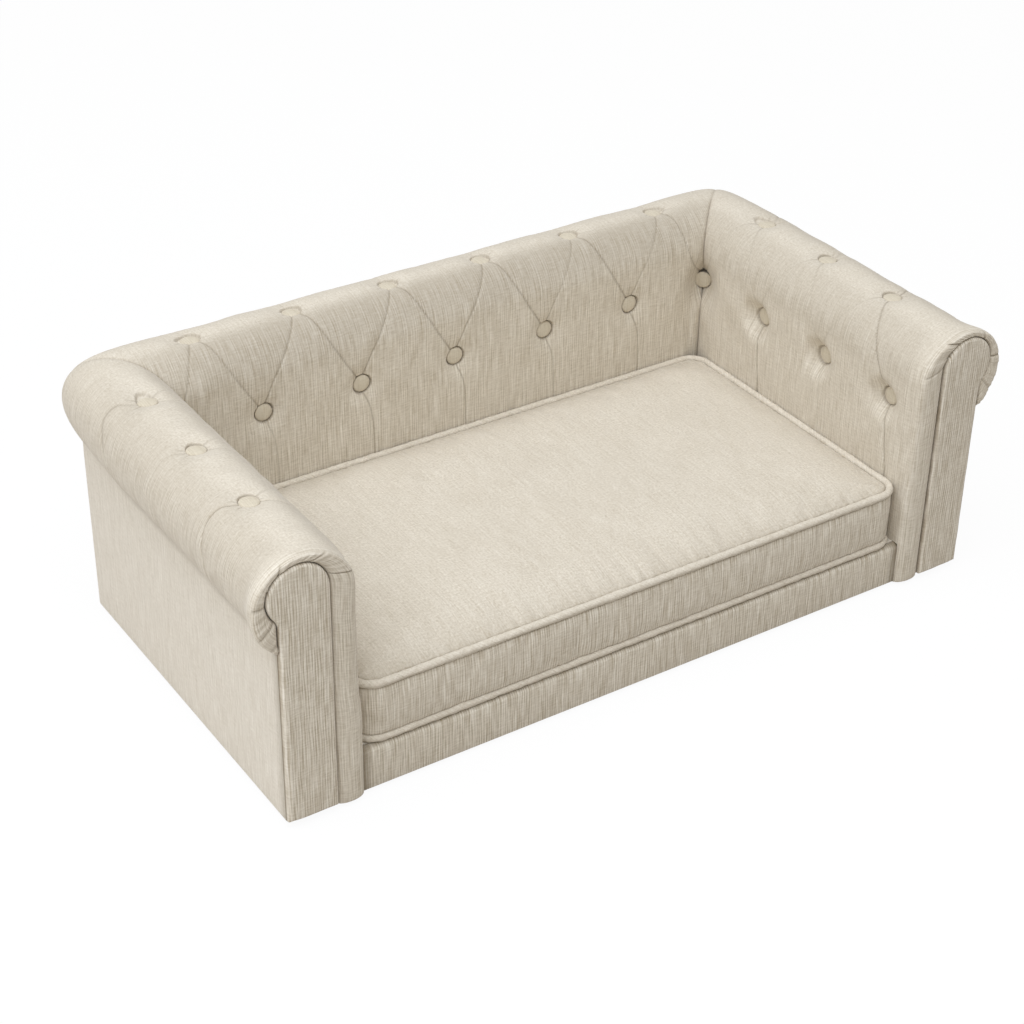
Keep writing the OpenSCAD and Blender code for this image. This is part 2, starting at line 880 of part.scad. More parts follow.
skin_in = border_in + cloth_t;
core_low = cushion_z + cloth_t;
core_high = top_pipe_z - fit_gap;
slot_h = zip_w - 6;
slot_deep = 5;
zip_z = (border_low + border_high) / 2;

module cushion_core() {
  color(foam) difference() {
    translate([0, 0, core_low]) linear_extrude(height = core_high - core_low)
      cushion_plan(piping_d + fit_gap);
    zip_pocket(slot_deep + piping_d);
  }
}

module zip_pocket(deep) {
  box([-zip_len / 2, cushion_back_y - deep, zip_z - zip_w / 2], [zip_len / 2, cushion_back_y + over, zip_z + zip_w / 2]);
}

module cushion_border() {
  color(linen_dark) difference() {
    cushion_ring(border_low, border_high - border_low, border_in, piping_d);
    zip_pocket(slot_deep + piping_d);
  }
}

module cushion_base() {
  color(linen) translate([0, 0, cushion_z]) linear_extrude(height = cloth_t - fit_gap)
    cushion_plan(piping_d + fit_gap);
}

module top_piping() {
  color(linen_dark) piping_loop(top_pipe_z);
}

module low_piping() {
  color(linen_dark) piping_loop(low_pipe_z);
}

// Crowned top panel with its wadding
crown_rings = 8;
crown_power = 2.6;
corner_turns = 8;
crown_margin = piping_d + fit_gap;
crown_low = core_high + fit_gap;
crown_lip = pipe_r;

crown_outline = let (
    r = cushion_corner_r - crown_margin,
    x = cushion_half_w - cushion_corner_r,
    y = cushion_half_d - cushion_corner_r
  )
  [for (k = [0:3]) for (i = [0:corner_turns])
    let (a = k * 90 + 90 * i / corner_turns, sx = k == 0 || k == 3 ? 1 : -1, sy = k < 2 ? 1 : -1)
    [sx * x + r * cos(a), sy * y + r * sin(a)]];

module cushion_top() {
  n = len(crown_outline);
  rim = [for (p = crown_outline) [p[0], p[1] + cushion_mid_y, crown_low]];
  rings = [for (k = [0:crown_rings - 1])
    let (share = 1 - k / crown_rings)
    each [for (p = crown_outline)
      [p[0] * share, p[1] * share + cushion_mid_y,
       crown_low + crown_lip + cushion_crown * (1 - pow(share, crown_power))]]];
  tip = [[0, cushion_mid_y, crown_low + crown_lip + cushion_crown]];
  color(linen_pale) polyhedron(
    points = concat(rim, rings, tip),
    faces = concat(
      [[for (i = [0:n - 1]) i]],
      [for (k = [0:crown_rings - 1]) for (i = [0:n - 1])
        let (a = k * n + i, b = k * n + (i + 1) % n)
        each [[a, a + n, b + n], [a, b + n, b]]],
      [for (i = [0:n - 1]) [crown_rings * n + i, (crown_rings + 1) * n, crown_rings * n + (i + 1) % n]]));
}

// Zip in the rear border: tape, slider and pull tab
tape_t = 1;
coil_w = 4;
coil_t = 1.6;
tape_y = cushion_back_y - slot_deep - piping_d;
coil_y = tape_y + tape_t;
slider_w = coil_w + 5;
slider_t = 3.6;
slider_wall = 0.8;
slider_x = zip_len / 2 - slider_len - tab_len;
hoop_r = 1.8;
hoop_y = coil_y + coil_t + fit_gap + slider_wall;
pin_r = 0.8;
tab_t = 1.2;
tab_w = 5;

module zip_tape() {
  color(linen_dark) {
    box([-zip_len / 2 + fit_gap, tape_y, zip_z - zip_w / 2 + fit_gap],
      [zip_len / 2 - fit_gap, coil_y, zip_z + zip_w / 2 - fit_gap]);
    box([-zip_len / 2 + fit_gap, coil_y - tape_t / 2, zip_z - coil_w / 2],
      [zip_len / 2 - fit_gap, coil_y + coil_t, zip_z + coil_w / 2]);
  }
}

module zip_slider() {
  color(steel) {
    difference() {
      box([slider_x, coil_y + fit_gap, zip_z - slider_w / 2],
        [slider_x + slider_len, hoop_y, zip_z + slider_w / 2]);
      box([slider_x - over, coil_y - over, zip_z - coil_w / 2 - fit_gap],
        [slider_x + slider_len + over, coil_y + coil_t + fit_gap, zip_z + coil_w / 2 + fit_gap]);
    }
    for (side = [-1, 1]) {
      translate([slider_x + slider_len / 2, hoop_y - slider_wall / 2, zip_z + side * (tab_w / 2 + fit_gap + slider_wall / 2)])
        hoop_cheek();
    }
    translate([slider_x + slider_len / 2, hoop_y + hoop_r, zip_z - tab_w / 2 - fit_gap - slider_wall / 2])
      cylinder(r = pin_r, h = tab_w + 2 * fit_gap + slider_wall, $fn = fine);
  }
}

module hoop_cheek() {
  translate([-hoop_r, 0, -slider_wall / 2]) cube([2 * hoop_r, hoop_r + slider_wall / 2, slider_wall]);
  translate([0, hoop_r + slider_wall / 2, -slider_wall / 2]) cylinder(r = hoop_r, h = slider_wall, $fn = fine);
}

module zip_tab() {
  color(steel) difference() {
    union() {
      translate([slider_x + slider_len / 2, hoop_y + hoop_r, zip_z - tab_w / 2])
        cylinder(r = pin_r + fit_gap + tab_t / 2, h = tab_w, $fn = fine);
      box([slider_x + slider_len / 2 - tab_len, hoop_y + hoop_r - tab_t / 2, zip_z - tab_w / 2],
        [slider_x + slider_len / 2, hoop_y + hoop_r + tab_t / 2, zip_z + tab_w / 2]);
    }
    translate([slider_x + slider_len / 2, hoop_y + hoop_r, zip_z - tab_w / 2 - over])
      cylinder(r = pin_r + fit_gap, h = tab_w + 2 * over, $fn = fine);
  }
}

front_rail();
back_rail();
left_side_rail();
right_side_rail();
middle_rail();
corner_blocks();
seat_deck();
deck_lining();
dust_cover();
glides();
apron();
left_arm_board();
right_arm_board();
left_front_post();
right_front_post();
left_back_post();
right_back_post();
left_roll_rail();
right_roll_rail();
left_roll_core();
right_roll_core();
back_board();
back_stiles();
back_roll_rail();
back_roll_core();
left_arm_bolts();
right_arm_bolts();
left_arm_padding();
right_arm_padding();
back_padding();
left_front_strip();
right_front_strip();
left_side_panel();
right_side_panel();
back_panel();
left_facing();
right_facing();
back_low_buttons();
back_top_buttons();
left_low_buttons();
left_top_buttons();
right_low_buttons();
right_top_buttons();
corner_buttons();
cushion_core();
cushion_top();
cushion_border();
cushion_base();
top_piping();
low_piping();
zip_tape();
zip_slider();
zip_tab();
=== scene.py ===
import math

import bmesh
import bpy
import numpy as np
from mathutils import Matrix, Vector
from mathutils.kdtree import KDTree


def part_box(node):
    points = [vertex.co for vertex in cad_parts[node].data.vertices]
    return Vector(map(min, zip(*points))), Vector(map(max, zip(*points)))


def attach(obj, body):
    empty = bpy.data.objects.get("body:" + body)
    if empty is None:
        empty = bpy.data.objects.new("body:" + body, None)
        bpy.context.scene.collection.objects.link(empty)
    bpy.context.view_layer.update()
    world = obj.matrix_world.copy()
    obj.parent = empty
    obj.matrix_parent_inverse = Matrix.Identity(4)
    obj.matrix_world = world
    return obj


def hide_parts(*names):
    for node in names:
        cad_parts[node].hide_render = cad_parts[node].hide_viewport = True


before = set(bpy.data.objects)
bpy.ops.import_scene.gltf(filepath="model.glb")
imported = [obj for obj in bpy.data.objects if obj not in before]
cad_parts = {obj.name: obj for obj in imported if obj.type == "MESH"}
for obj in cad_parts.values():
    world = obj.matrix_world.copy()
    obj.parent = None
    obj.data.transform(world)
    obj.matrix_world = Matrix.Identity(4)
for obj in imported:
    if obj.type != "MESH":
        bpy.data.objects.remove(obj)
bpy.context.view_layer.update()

mm = 0.001

# Places taken from the frame, in millimetres
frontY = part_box("left_front_post")[0].y / mm  # front of the padding
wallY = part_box("deck_lining")[1].y / mm  # inner face of the back
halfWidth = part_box("deck_lining")[1].x / mm  # inner faces of the arms
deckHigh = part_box("deck_lining")[1].z / mm
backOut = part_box("back_panel")[1].y / mm
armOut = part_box("right_side_panel")[1].x / mm
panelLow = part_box("right_side_panel")[0].z / mm
seatDepth = wallY - frontY
print("stage: frame loaded, seat", round(2 * halfWidth), "by", round(seatDepth), "mm")


def linear(value):
    share = value / 255
    return share / 12.92 if share <= 0.04045 else ((share + 0.055) / 1.055) ** 2.4


def tone(red, green, blue):
    return (linear(red), linear(green), linear(blue), 1.0)


# Materials: every cloth reads the map "cloth", in metres across and along the thread
def addNode(tree, kind, links=(), **values):
    node = tree.nodes.new(kind)
    for key, value in values.items():
        if hasattr(node, key):
            setattr(node, key, value)
        else:
            node.inputs[key.replace("_", " ")].default_value = value
    for name, source in dict(links).items():
        tree.links.new(source, node.inputs[name])
    return node


def startMaterial(name):
    material = bpy.data.materials.new(name)
    material.use_nodes = True
    tree = material.node_tree
    tree.nodes.clear()
    output = tree.nodes.new("ShaderNodeOutputMaterial")
    shader = tree.nodes.new("ShaderNodeBsdfPrincipled")
    tree.links.new(shader.outputs[0], output.inputs[0])
    return material, tree, shader


def stretchedNoise(tree, place, across, along, detail=2.0, roughness=0.55, turn=0.0):
    scaled = addNode(tree, "ShaderNodeMapping", {"Vector": place})
    scaled.inputs["Scale"].default_value = (across, along, across)
    scaled.inputs["Rotation"].default_value = (0, 0, turn)
    noise = addNode(
        tree, "ShaderNodeTexNoise", {"Vector": scaled.outputs[0]}, Scale=1.0, Detail=detail, Roughness=roughness)
    return noise.outputs["Fac"]


waveBands = 20  # what the wave texture multiplies its place by


def wavyRibs(tree, place, pitch, along, bend, detail=2.0):
    # Even ribs that wander a little: pitch in metres, along is how quickly they change lengthwise
    scale = 2 * math.pi / (waveBands * pitch)
    mapping = addNode(tree, "ShaderNodeMapping", {"Vector": place}, Scale=(scale, along, 1))
    wave = addNode(
        tree, "ShaderNodeTexWave", {"Vector": mapping.outputs[0]},
        bands_direction="X", Scale=1.0, Distortion=bend, Detail=detail, Detail_Scale=2.0)
    return wave.outputs["Fac"]


def weighted(tree, parts, start=0.5):
    total = None
    for source, weight in parts:
        step = addNode(tree, "ShaderNodeMath", operation="MULTIPLY_ADD")
        tree.links.new(source, step.inputs[0])
        step.inputs[1].default_value = weight
        if total is None:
            step.inputs[2].default_value = start - 0.5 * sum(w for _, w in parts)
        else:
            tree.links.new(total, step.inputs[2])
        total = step.outputs[0]
    return total


def blend(tree, share, first, second, kind="RGBA"):
    # Each of the three is a value or another node's output
    mix = addNode(tree, "ShaderNodeMix", data_type=kind)
    sockets = [socket for socket in mix.inputs if socket.enabled]
    for socket, value in zip(sockets, (share, first, second)):
        if hasattr(value, "links"):
            tree.links.new(value, socket)
        else:
            socket.default_value = value
    return next(socket for socket in mix.outputs if socket.enabled)


weave = {  # noise across and along the threads, per metre, with its detail, roughness and turn
    "rib": (400, 11, 2.0, 0.7),
    "thread": (760, 28, 1.0),
    "weft": (75, 620, 1.5),
    "fuzz": (430, 360, 2.5, 0.65, 0.6),
    "cloud": (19, 15, 3.0),
}
evenRibs = {"pitch": 0.003, "along": 9, "bend": 4.5}
linen = {
    "light": tone(240, 233, 219),
    "dark": tone(180, 167, 145),
    # The next colour is painted shade: the cloth is drawn toward it in creases, seams, button wells, gaps and on the
    # rolls' flanks
    "fold": tone(112, 96, 70),
    "rib": 0.8,  # how much each layer of the weave shows: slubs, even ribs, fine threads, threads across
    "wave": 0.22,
    "thread": 1.1,
    "weft": 0.65,
    "fuzz": 0.85,
    "cloud": 0.1,
    "ribFuzz": 0.3,  # the fuzz among the ribs, and the threads that show through the nap
    "napWeft": 0.3,
    "napThread": 0.35,
    "bump": 0.6,
    "depth": 0.0006,
    "sheen": 0.25,
    "sheenRoughness": 0.45,
    "sheenTint": (1.0, 0.98, 0.94, 1.0),
    "roughness": 0.93,
    "roughFuzz": 0.1,
    "roughRib": 0.08,
    "specular": 0.2,
}


def makeLinen(name, nap=0.0, **changes):
    # nap is how far the raised fuzz hides the ribs: a number, or "worn" for the attribute of that name
    finish = {**linen, **changes}
    material, tree, shader = startMaterial(name)
    place = addNode(tree, "ShaderNodeUVMap", uv_map="cloth").outputs[0]
    noise = {layer: stretchedNoise(tree, place, *values) for layer, values in weave.items()}
    noise["wave"] = wavyRibs(tree, place, **evenRibs)
    ribs = [(noise[layer], finish[layer]) for layer in ("rib", "wave", "thread", "weft")]
    ribbed = weighted(tree, ribs + [(noise["fuzz"], finish["ribFuzz"])])
    fuzzy = weighted(tree, [
        (noise["fuzz"], finish["fuzz"]), (noise["weft"], finish["napWeft"]), (noise["thread"], finish["napThread"])])
    share = nap
    if nap == "worn":
        share = addNode(tree, "ShaderNodeAttribute", attribute_name="worn").outputs["Fac"]
    woven = blend(tree, share, ribbed, fuzzy, "FLOAT")
    look = weighted(tree, [(woven, 1.0), (noise["cloud"], finish["cloud"])])
    clipped = addNode(tree, "ShaderNodeClamp", {"Value": look})
    colour = blend(tree, clipped.outputs[0], finish["dark"], finish["light"])
    # Painted shade: a point attribute draws the cloth's colour toward the shade colour
    fold = addNode(tree, "ShaderNodeAttribute", attribute_name="fold")
    colour = blend(tree, fold.outputs["Fac"], colour, finish["fold"])
    bump = addNode(tree, "ShaderNodeBump", {"Height": woven}, Strength=finish["bump"], Distance=finish["depth"])
    rough = weighted(
        tree, [(noise["fuzz"], finish["roughFuzz"]), (noise["rib"], finish["roughRib"])], finish["roughness"])
    tree.links.new(colour, shader.inputs["Base Color"])
    tree.links.new(rough, shader.inputs["Roughness"])
    tree.links.new(bump.outputs[0], shader.inputs["Normal"])
    shader.inputs["Specular IOR Level"].default_value = finish["specular"]
    shader.inputs["Sheen Weight"].default_value = finish["sheen"]
    shader.inputs["Sheen Roughness"].default_value = finish["sheenRoughness"]
    shader.inputs["Sheen Tint"].default_value = finish["sheenTint"]
    return material


tuftedLinen = makeLinen("tuftedLinen", nap="worn")
frontLinen = makeLinen("frontLinen", rib=0.9, wave=0.4, thread=1.5)
# Painted light: the panels' cloth is paler than the other linen, standing in for light on the side panels
panelLinen = makeLinen(
    "panelLinen", nap=0.5, fuzz=0.6, wave=0.3, light=tone(247, 241, 229), dark=tone(196, 185, 166))
cushionLinen = makeLinen("cushionLinen", nap=0.85, fuzz=1.1, cloud=0.2)
borderLinen = makeLinen("borderLinen", wave=0.36, thread=1.4)
pipingLinen = makeLinen("pipingLinen", nap=0.7, weft=0.5)
buttonLinen = makeLinen("buttonLinen", nap=0.5, dark=tone(191, 179, 156), light=tone(226, 217, 198))


wood = {
    "detail": 4.0, "roughness": 0.6, "fineAcross": 6, "fineAlong": 3, "grain": 1.6, "fine": 0.5,
    "plies": 0.35, "plyBend": 0.6, "bump": 0.3, "depth": 0.0004, "gloss": 0.62, "glossFine": 0.2,
}


def makeWood(name, light, dark, across, along, sheets=0):  # how fine the grain is across and along, per metre
    material, tree, shader = startMaterial(name)
    place = addNode(tree, "ShaderNodeTexCoord").outputs["Object"]
    grain = stretchedNoise(tree, place, across, along, wood["detail"], wood["roughness"])
    fine = stretchedNoise(tree, place, across * wood["fineAcross"], along * wood["fineAlong"])
    parts = [(grain, wood["grain"]), (fine, wood["fine"])]
    if sheets:  # glue lines of the plies
        band = addNode(
            tree, "ShaderNodeTexWave", {"Vector": place},
            bands_direction="X", Scale=sheets, Distortion=wood["plyBend"])
        parts.append((band.outputs["Fac"], wood["plies"]))
    look = addNode(tree, "ShaderNodeClamp", {"Value": weighted(tree, parts)})
    tree.links.new(blend(tree, look.outputs[0], dark, light), shader.inputs["Base Color"])
    bump = addNode(tree, "ShaderNodeBump", {"Height": grain}, Strength=wood["bump"], Distance=wood["depth"])
    tree.links.new(bump.outputs[0], shader.inputs["Normal"])
    tree.links.new(weighted(tree, [(fine, wood["glossFine"])], wood["gloss"]), shader.inputs["Roughness"])
    return material


grained = {
    "detail": 3.0, "roughness": 0.6, "wearSize": 0.12, "wear": 0.8, "bump": 0.4, "glossGrain": 0.15, "glossWear": 0.2,
}


def makeGrained(name, light, dark, size, metallic=0.0, roughness=0.5, bumpDepth=0.0002, stretch=1.0):
    # Wear is coarser than the grain, and both move the colour and the gloss
    material, tree, shader = startMaterial(name)
    place = addNode(tree, "ShaderNodeTexCoord").outputs["Object"]
    grain = stretchedNoise(tree, place, size, size * stretch, grained["detail"], grained["roughness"])
    coarse = size * grained["wearSize"]
    wear = stretchedNoise(tree, place, coarse, coarse)
    look = addNode(tree, "ShaderNodeClamp", {"Value": weighted(tree, [(grain, 1.0), (wear, grained["wear"])])})
    tree.links.new(blend(tree, look.outputs[0], dark, light), shader.inputs["Base Color"])
    bump = addNode(tree, "ShaderNodeBump", {"Height": grain}, Strength=grained["bump"], Distance=bumpDepth)
    tree.links.new(bump.outputs[0], shader.inputs["Normal"])
    gloss = weighted(tree, [(grain, grained["glossGrain"]), (wear, grained["glossWear"])], roughness)
    tree.links.new(gloss, shader.inputs["Roughness"])
    shader.inputs["Metallic"].default_value = metallic
    return material


pineWood = makeWood("pineWood", tone(221, 190, 140), tone(176, 134, 84), across=160, along=14)
plyWood = makeWood("plyWood", tone(205, 172, 126), tone(160, 120, 78), across=120, along=18, sheets=260)
foamFill = makeGrained(
    "foamFill", tone(243, 233, 190), tone(219, 203, 148), size=700, roughness=0.9, bumpDepth=0.0006)
blackCloth = makeGrained(
    "blackCloth", tone(58, 57, 58), tone(28, 28, 30), size=1300, roughness=0.92, bumpDepth=0.0003, stretch=0.4)
darkNylon = makeGrained("darkNylon", tone(62, 58, 54), tone(38, 35, 33), size=420)
zincSteel = makeGrained(
    "zincSteel", tone(200, 200, 204), tone(150, 150, 156), size=900,
    metallic=1.0, roughness=0.32, bumpDepth=0.00005, stretch=0.2)
zipCloth = makeGrained(
    "zipCloth", tone(226, 218, 200), tone(190, 180, 158), size=1500, roughness=0.85, bumpDepth=0.0003, stretch=0.3)
zipNylon = makeGrained(
    "zipNylon", tone(232, 227, 214), tone(206, 199, 182), size=600, roughness=0.4, bumpDepth=0.0001)
print("stage: materials made")


# Meshes: points in millimetres, faces as lists of indices
def addPiece(name, points, faces, material, body="sofa", cloth=None, fold=None, worn=None, sharp=40):
    mesh = bpy.data.meshes.new(name)
    mesh.from_pydata((np.asarray(points, float) * mm).tolist(), [], [list(map(int, f)) for f in faces])
    piece = bpy.data.objects.new(name, mesh)
    bpy.context.scene.collection.objects.link(piece)
    if cloth is not None:
        layer = mesh.uv_layers.new(name="cloth")
        corner = np.zeros(len(mesh.loops), int)
        mesh.loops.foreach_get("vertex_index", corner)
        layer.data.foreach_set("uv", (np.asarray(cloth, float)[corner] * mm).ravel())
    # Point attributes: the painted shade, and the raised nap
    for label, values in (("fold", fold), ("worn", worn)):
        if values is not None:
            layer = mesh.attributes.new(label, "FLOAT", "POINT")
            layer.data.foreach_set("value", np.clip(np.asarray(values, float), 0, 1))
    work = bmesh.new()
    work.from_mesh(mesh)
    bmesh.ops.recalc_face_normals(work, faces=work.faces)
    work.to_mesh(mesh)
    work.free()
    mesh.materials.append(material)
    mesh.shade_smooth()
    mesh.set_sharp_from_angle(angle=math.radians(sharp))
    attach(piece, body)
    return piece


def standFor(node):
    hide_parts(node)


def mirrored(points, hand):  # the arms' pieces are shaped on the left
    return points * np.array([-1, 1, 1]) if hand > 0 else points


def gridFaces(rows, columns, closedRows=False, closedColumns=False, first=0):
    r = np.arange(rows if closedRows else rows - 1)
    c = np.arange(columns if closedColumns else columns - 1)
    r, c = (x.ravel() for x in np.meshgrid(r, c, indexing="ij"))
    r2, c2 = (r + 1) % rows, (c + 1) % columns
    return (first + np.stack([r * columns + c, r * columns + c2, r2 * columns + c2, r2 * columns + c], 1)).tolist()


def gridEdge(rows, columns):  # a grid's outermost points, in order
    return (list(range(columns)) + [r * columns + columns - 1 for r in range(1, rows)]
            + [(rows - 1) * columns + c for c in range(columns - 2, -1, -1)]
            + [r * columns for r in range(rows - 2, 0, -1)])


def joined(first, second):  # the faces between two loops of points
    size = len(first)
    return [[first[k], first[(k + 1) % size], second[(k + 1) % size], second[k]] for k in range(size)]


def unevenness(x, y, seed, size, count=16, spread=0.3):
    # A sum of waves about size long, with a spread near 1
    rng = np.random.default_rng(seed)
    total = 0
    for _ in range(count):
        length = size * 10 ** rng.uniform(-spread, spread)
        angle, phase = rng.uniform(0, 2 * np.pi, 2)
        total = total + np.sin((x * np.cos(angle) + y * np.sin(angle)) * 2 * np.pi / length + phase)
    return total / math.sqrt(count / 2)


def smoothstep(value, low, high):
    share = np.clip((value - low) / (high - low), 0, 1)
    return share * share * (3 - 2 * share)


# Camera, lamps and floor
camera = {
    "azimuth": -33.551, "elevation": 32.533, "roll": 0.805,
    "place": (-1.20398, -1.78624, 1.46565), "lens": 77.273, "sensor": 36.0, "clip": 0.05,
}
azimuth, elevation, roll = (math.radians(camera[k]) for k in ("azimuth", "elevation", "roll"))
backward = Vector((
    math.sin(azimuth) * math.cos(elevation), -math.cos(azimuth) * math.cos(elevation), math.sin(elevation)))
sideways = (-backward).cross(Vector((0, 0, 1))).normalized()
upward = sideways.cross(-backward)
right = math.cos(roll) * sideways + math.sin(roll) * upward
up = math.cos(roll) * upward - math.sin(roll) * sideways
cameraData = bpy.data.cameras.new("camera")
cameraData.sensor_width = camera["sensor"]
cameraData.lens = camera["lens"]
cameraData.clip_start = camera["clip"]
cameraObject = bpy.data.objects.new("camera", cameraData)
turned = Matrix((right, up, backward)).transposed().to_4x4()
cameraObject.matrix_world = Matrix.Translation(camera["place"]) @ turned
bpy.context.scene.collection.objects.link(cameraObject)
bpy.context.scene.camera = cameraObject

lights = {
    "world": 0.46,
    "sky": (1.0, 0.965, 0.9, 1.0),
    "key": {"place": (-1.6, -0.9, 4.0), "size": 5.5, "power": 193, "colour": (0.93, 0.985, 1.085)},
    "side": {"place": (-2.5, -0.25, 0.3), "size": 0.9, "power": 7, "colour": (0.96, 0.99, 1.04)},
    "floor": (0.97, 0.97, 0.965, 1.0),
    "bounce": (0.5, 0.465, 0.42, 1.0),  # what the floor gives back to the object
    "glow": 0.94,
    "aim": (0, 0, 0.15),
}
floorSheet = {"roughness": 0.95, "specular": 0.1, "size": 30, "cells": 8}
bpy.context.scene.view_settings.view_transform = "Standard"
world = bpy.data.worlds.new("studio")
bpy.context.scene.world = world
world.use_nodes = True
tree = world.node_tree
tree.nodes.clear()
rays = addNode(tree, "ShaderNodeLightPath")
seen = rays.outputs["Is Camera Ray"]
for name in ("Is Glossy Ray", "Is Transmission Ray"):
    either = addNode(tree, "ShaderNodeMath", operation="MAXIMUM")
    tree.links.new(seen, either.inputs[0])
    tree.links.new(rays.outputs[name], either.inputs[1])
    seen = either.outputs[0]
ambient = addNode(tree, "ShaderNodeBackground", Color=lights["sky"], Strength=lights["world"])
white = addNode(tree, "ShaderNodeBackground", Color=(1, 1, 1, 1))
mixed = addNode(tree, "ShaderNodeMixShader")
tree.links.new(seen, mixed.inputs[0])
tree.links.new(ambient.outputs[0], mixed.inputs[1])
tree.links.new(white.outputs[0], mixed.inputs[2])
worldOut = addNode(tree, "ShaderNodeOutputWorld")
tree.links.new(mixed.outputs[0], worldOut.inputs[0])


def addLamp(name, values):
    data = bpy.data.lights.new(name, "AREA")
    data.shape = "DISK"
    data.size = values["size"]
    data.energy = values["power"]
    data.color = values["colour"]
    lamp = bpy.data.objects.new(name, data)
    place = Vector(values["place"])
    lamp.location = place
    lamp.rotation_mode = "QUATERNION"
    lamp.rotation_quaternion = (Vector(lights["aim"]) - place).to_track_quat("-Z", "Y")
    bpy.context.scene.collection.objects.link(lamp)


addLamp("keyLamp", lights["key"])
addLamp("sideLamp", lights["side"])

floorMaterial, tree, shader = startMaterial("paleFloor")
shader.inputs["Roughness"].default_value = floorSheet["roughness"]
shader.inputs["Specular IOR Level"].default_value = floorSheet["specular"]
rays = addNode(tree, "ShaderNodeLightPath")
glow = addNode(tree, "ShaderNodeEmission", Color=(1, 1, 1, 1))
floorColour = blend(tree, rays.outputs["Is Camera Ray"], lights["bounce"], lights["floor"])
tree.links.new(floorColour, shader.inputs["Base Color"])
share = addNode(tree, "ShaderNodeMath", operation="MULTIPLY")
tree.links.new(rays.outputs["Is Camera Ray"], share.inputs[0])
share.inputs[1].default_value = lights["glow"]
mixed = addNode(tree, "ShaderNodeMixShader")
tree.links.new(share.outputs[0], mixed.inputs[0])
tree.links.new(shader.outputs[0], mixed.inputs[1])
tree.links.new(glow.outputs[0], mixed.inputs[2])
output = next(n for n in tree.nodes if n.type == "OUTPUT_MATERIAL")
tree.links.new(mixed.outputs[0], output.inputs[0])
bpy.ops.mesh.primitive_grid_add(
    x_subdivisions=floorSheet["cells"], y_subdivisions=floorSheet["cells"], size=floorSheet["size"],
    location=(0, 0, 0))
floor = bpy.context.object
floor.name = "floor"
floor.data.materials.append(floorMaterial)
print("stage: camera and lamps set")

# Tufted padding: one section swept along an arm or the back, drawn in at buttons and pleats
padding = {
    "high": 323.0, "armRoll": 55.5, "backRoll": 51.0, "armThick": 90.0, "backThick": 64.0,
    "wadding": 33.0, "coreOut": 57.3, "coreHigh": 267.5, "coreRadius": 24.6,
    "row": 226.0, "low": deckHigh + 0.15, "power": 6, "mitreGap": 0.02,
    "armCorner": 51.17, "backCorner": 43.5, "armFront": 55.0, "pitches": 5, "mitreTurn": 45,
    "step": 1.7, "fineStep": 0.9, "fineReach": 15.0,
    "nearMitre": (0, 0.7, 1.5, 2.5, 3.7, 5.0), "hiddenStep": 5.0, "hiddenBelow": -90.0, "underRows": 138,
    "seamSink": 1.4, "seamWidth": 1.7, "seamSoft": 2.2, "seamReach": 10.0,
    "wellIn": 11.1, "wellOut": 12.9, "wellDark": 11.8, "dish": 8.0, "ragged": 0.35,
    "lumps": ((0.3, 70, 0), (0.06, 17, 7)),  # unevenness: depth, size and what is added to the seed
    "tuck": 3.0, "tuckFrom": 0.96, "tuckFront": (4, 14), "tuckDark": 0.5,  # drawn in under the roll's end
    "seamDark": 0.2, "seamLine": 1.1, "wellLine": 0.8, "calmSeam": 30, "calmLow": -40, "seamFade": 12,
    "far": 1e3,  # the back has no front edge, so it stands this far off
    "sharp": 60, "fill": 0.85,
}
padding["armPitch"] = (seatDepth - padding["armCorner"] - padding["armFront"]) / padding["pitches"]
padding["backPitch"] = (halfWidth - padding["backCorner"]) / padding["pitches"]
# Raised nap: what the wall has and the heights between which it grows, then where it fades
raised = {
    "arm": (0.4, 40, 105), "back": (0.12, 80, 128), "behind": (145, 215), "lost": 0.8, "front": (0.7, 3), "ring": 0.3,
}
ring = {
    "depth": 0.5, "bulge": 7.8, "columns": 30, "round": 2.0, "square": 2.5, "sharp": 3.5,
    "inset": 3.0, "flare": 9.5, "flareReach": 15.0, "clear": 0.3, "headTurn": 47, "stemTurn": 33,
    # Painted shade: creaseDark in the gathers' creases, crease wide; edgeDark along the edge against the facing,
    # edgeLine wide
    "gather": 1.3, "crease": 0.8, "creaseDark": 0.75, "edgeDark": 0.8, "edgeLine": 1.6,
    "ripple": (0.05, 0.3, 6),  # depth on the wall, what the roll adds and the waves' size
    "rippleFrom": (30, 90), "sharpTo": 60, "soft": 2.1, "calmEdges": 10, "pushFrom": (0.3, 7),
    "flareFrom": (90, 210), "insetFrom": (-120, -70), "straight": 200.0, "stemShare": 0.6, "underGap": 2,
    "liningShare": 0.9,
}
facing = {
    "headOut": 67.0, "headHigh": 279.0, "headRadius": 34.0, "inner": 33.0, "outer": 90.0,
    "low": 8.0, "thick": 9.0, "edge": 3.2, "puff": 0.9, "puffReach": 11.0, "stemEdge": 4.8, "neck": 2.5,
    # walls: depth of each side wall and its painted shade, for the gap beside the panel; the last is the hidden back
    "walls": ((2.6, 0.35), (0.05, 1.0)),  # depth and darkness of the side's cloth
    "fine": (0, 0.12, 0.5, 1.1, 1.9, 2.8, 3.8, 5.5, 8.0, 11.5, 16.0),
    "headRows": (20, 28, 36, 44, 51, 58, 64, 70, 75, 80, 84, 87), "rowsFrom": 22, "rowStep": 5.0, "columns": 8,
    "outside": (75, 88), "outsideBelow": (225, 255), "set": 0.6, "rough": (0.12, 61, 40),
    "rowsPast": 8, "tip": 0.01, "fineRoom": 4, "sharp": 60, "fill": 0.9,
}


def rollRadius(side):
    return padding["armRoll"] + (padding["backRoll"] - padding["armRoll"]) * side


def squareness(tilt):
    p = padding["power"]
    return (np.cos(tilt) ** p + np.sin(tilt) ** p) ** (-1 / p)


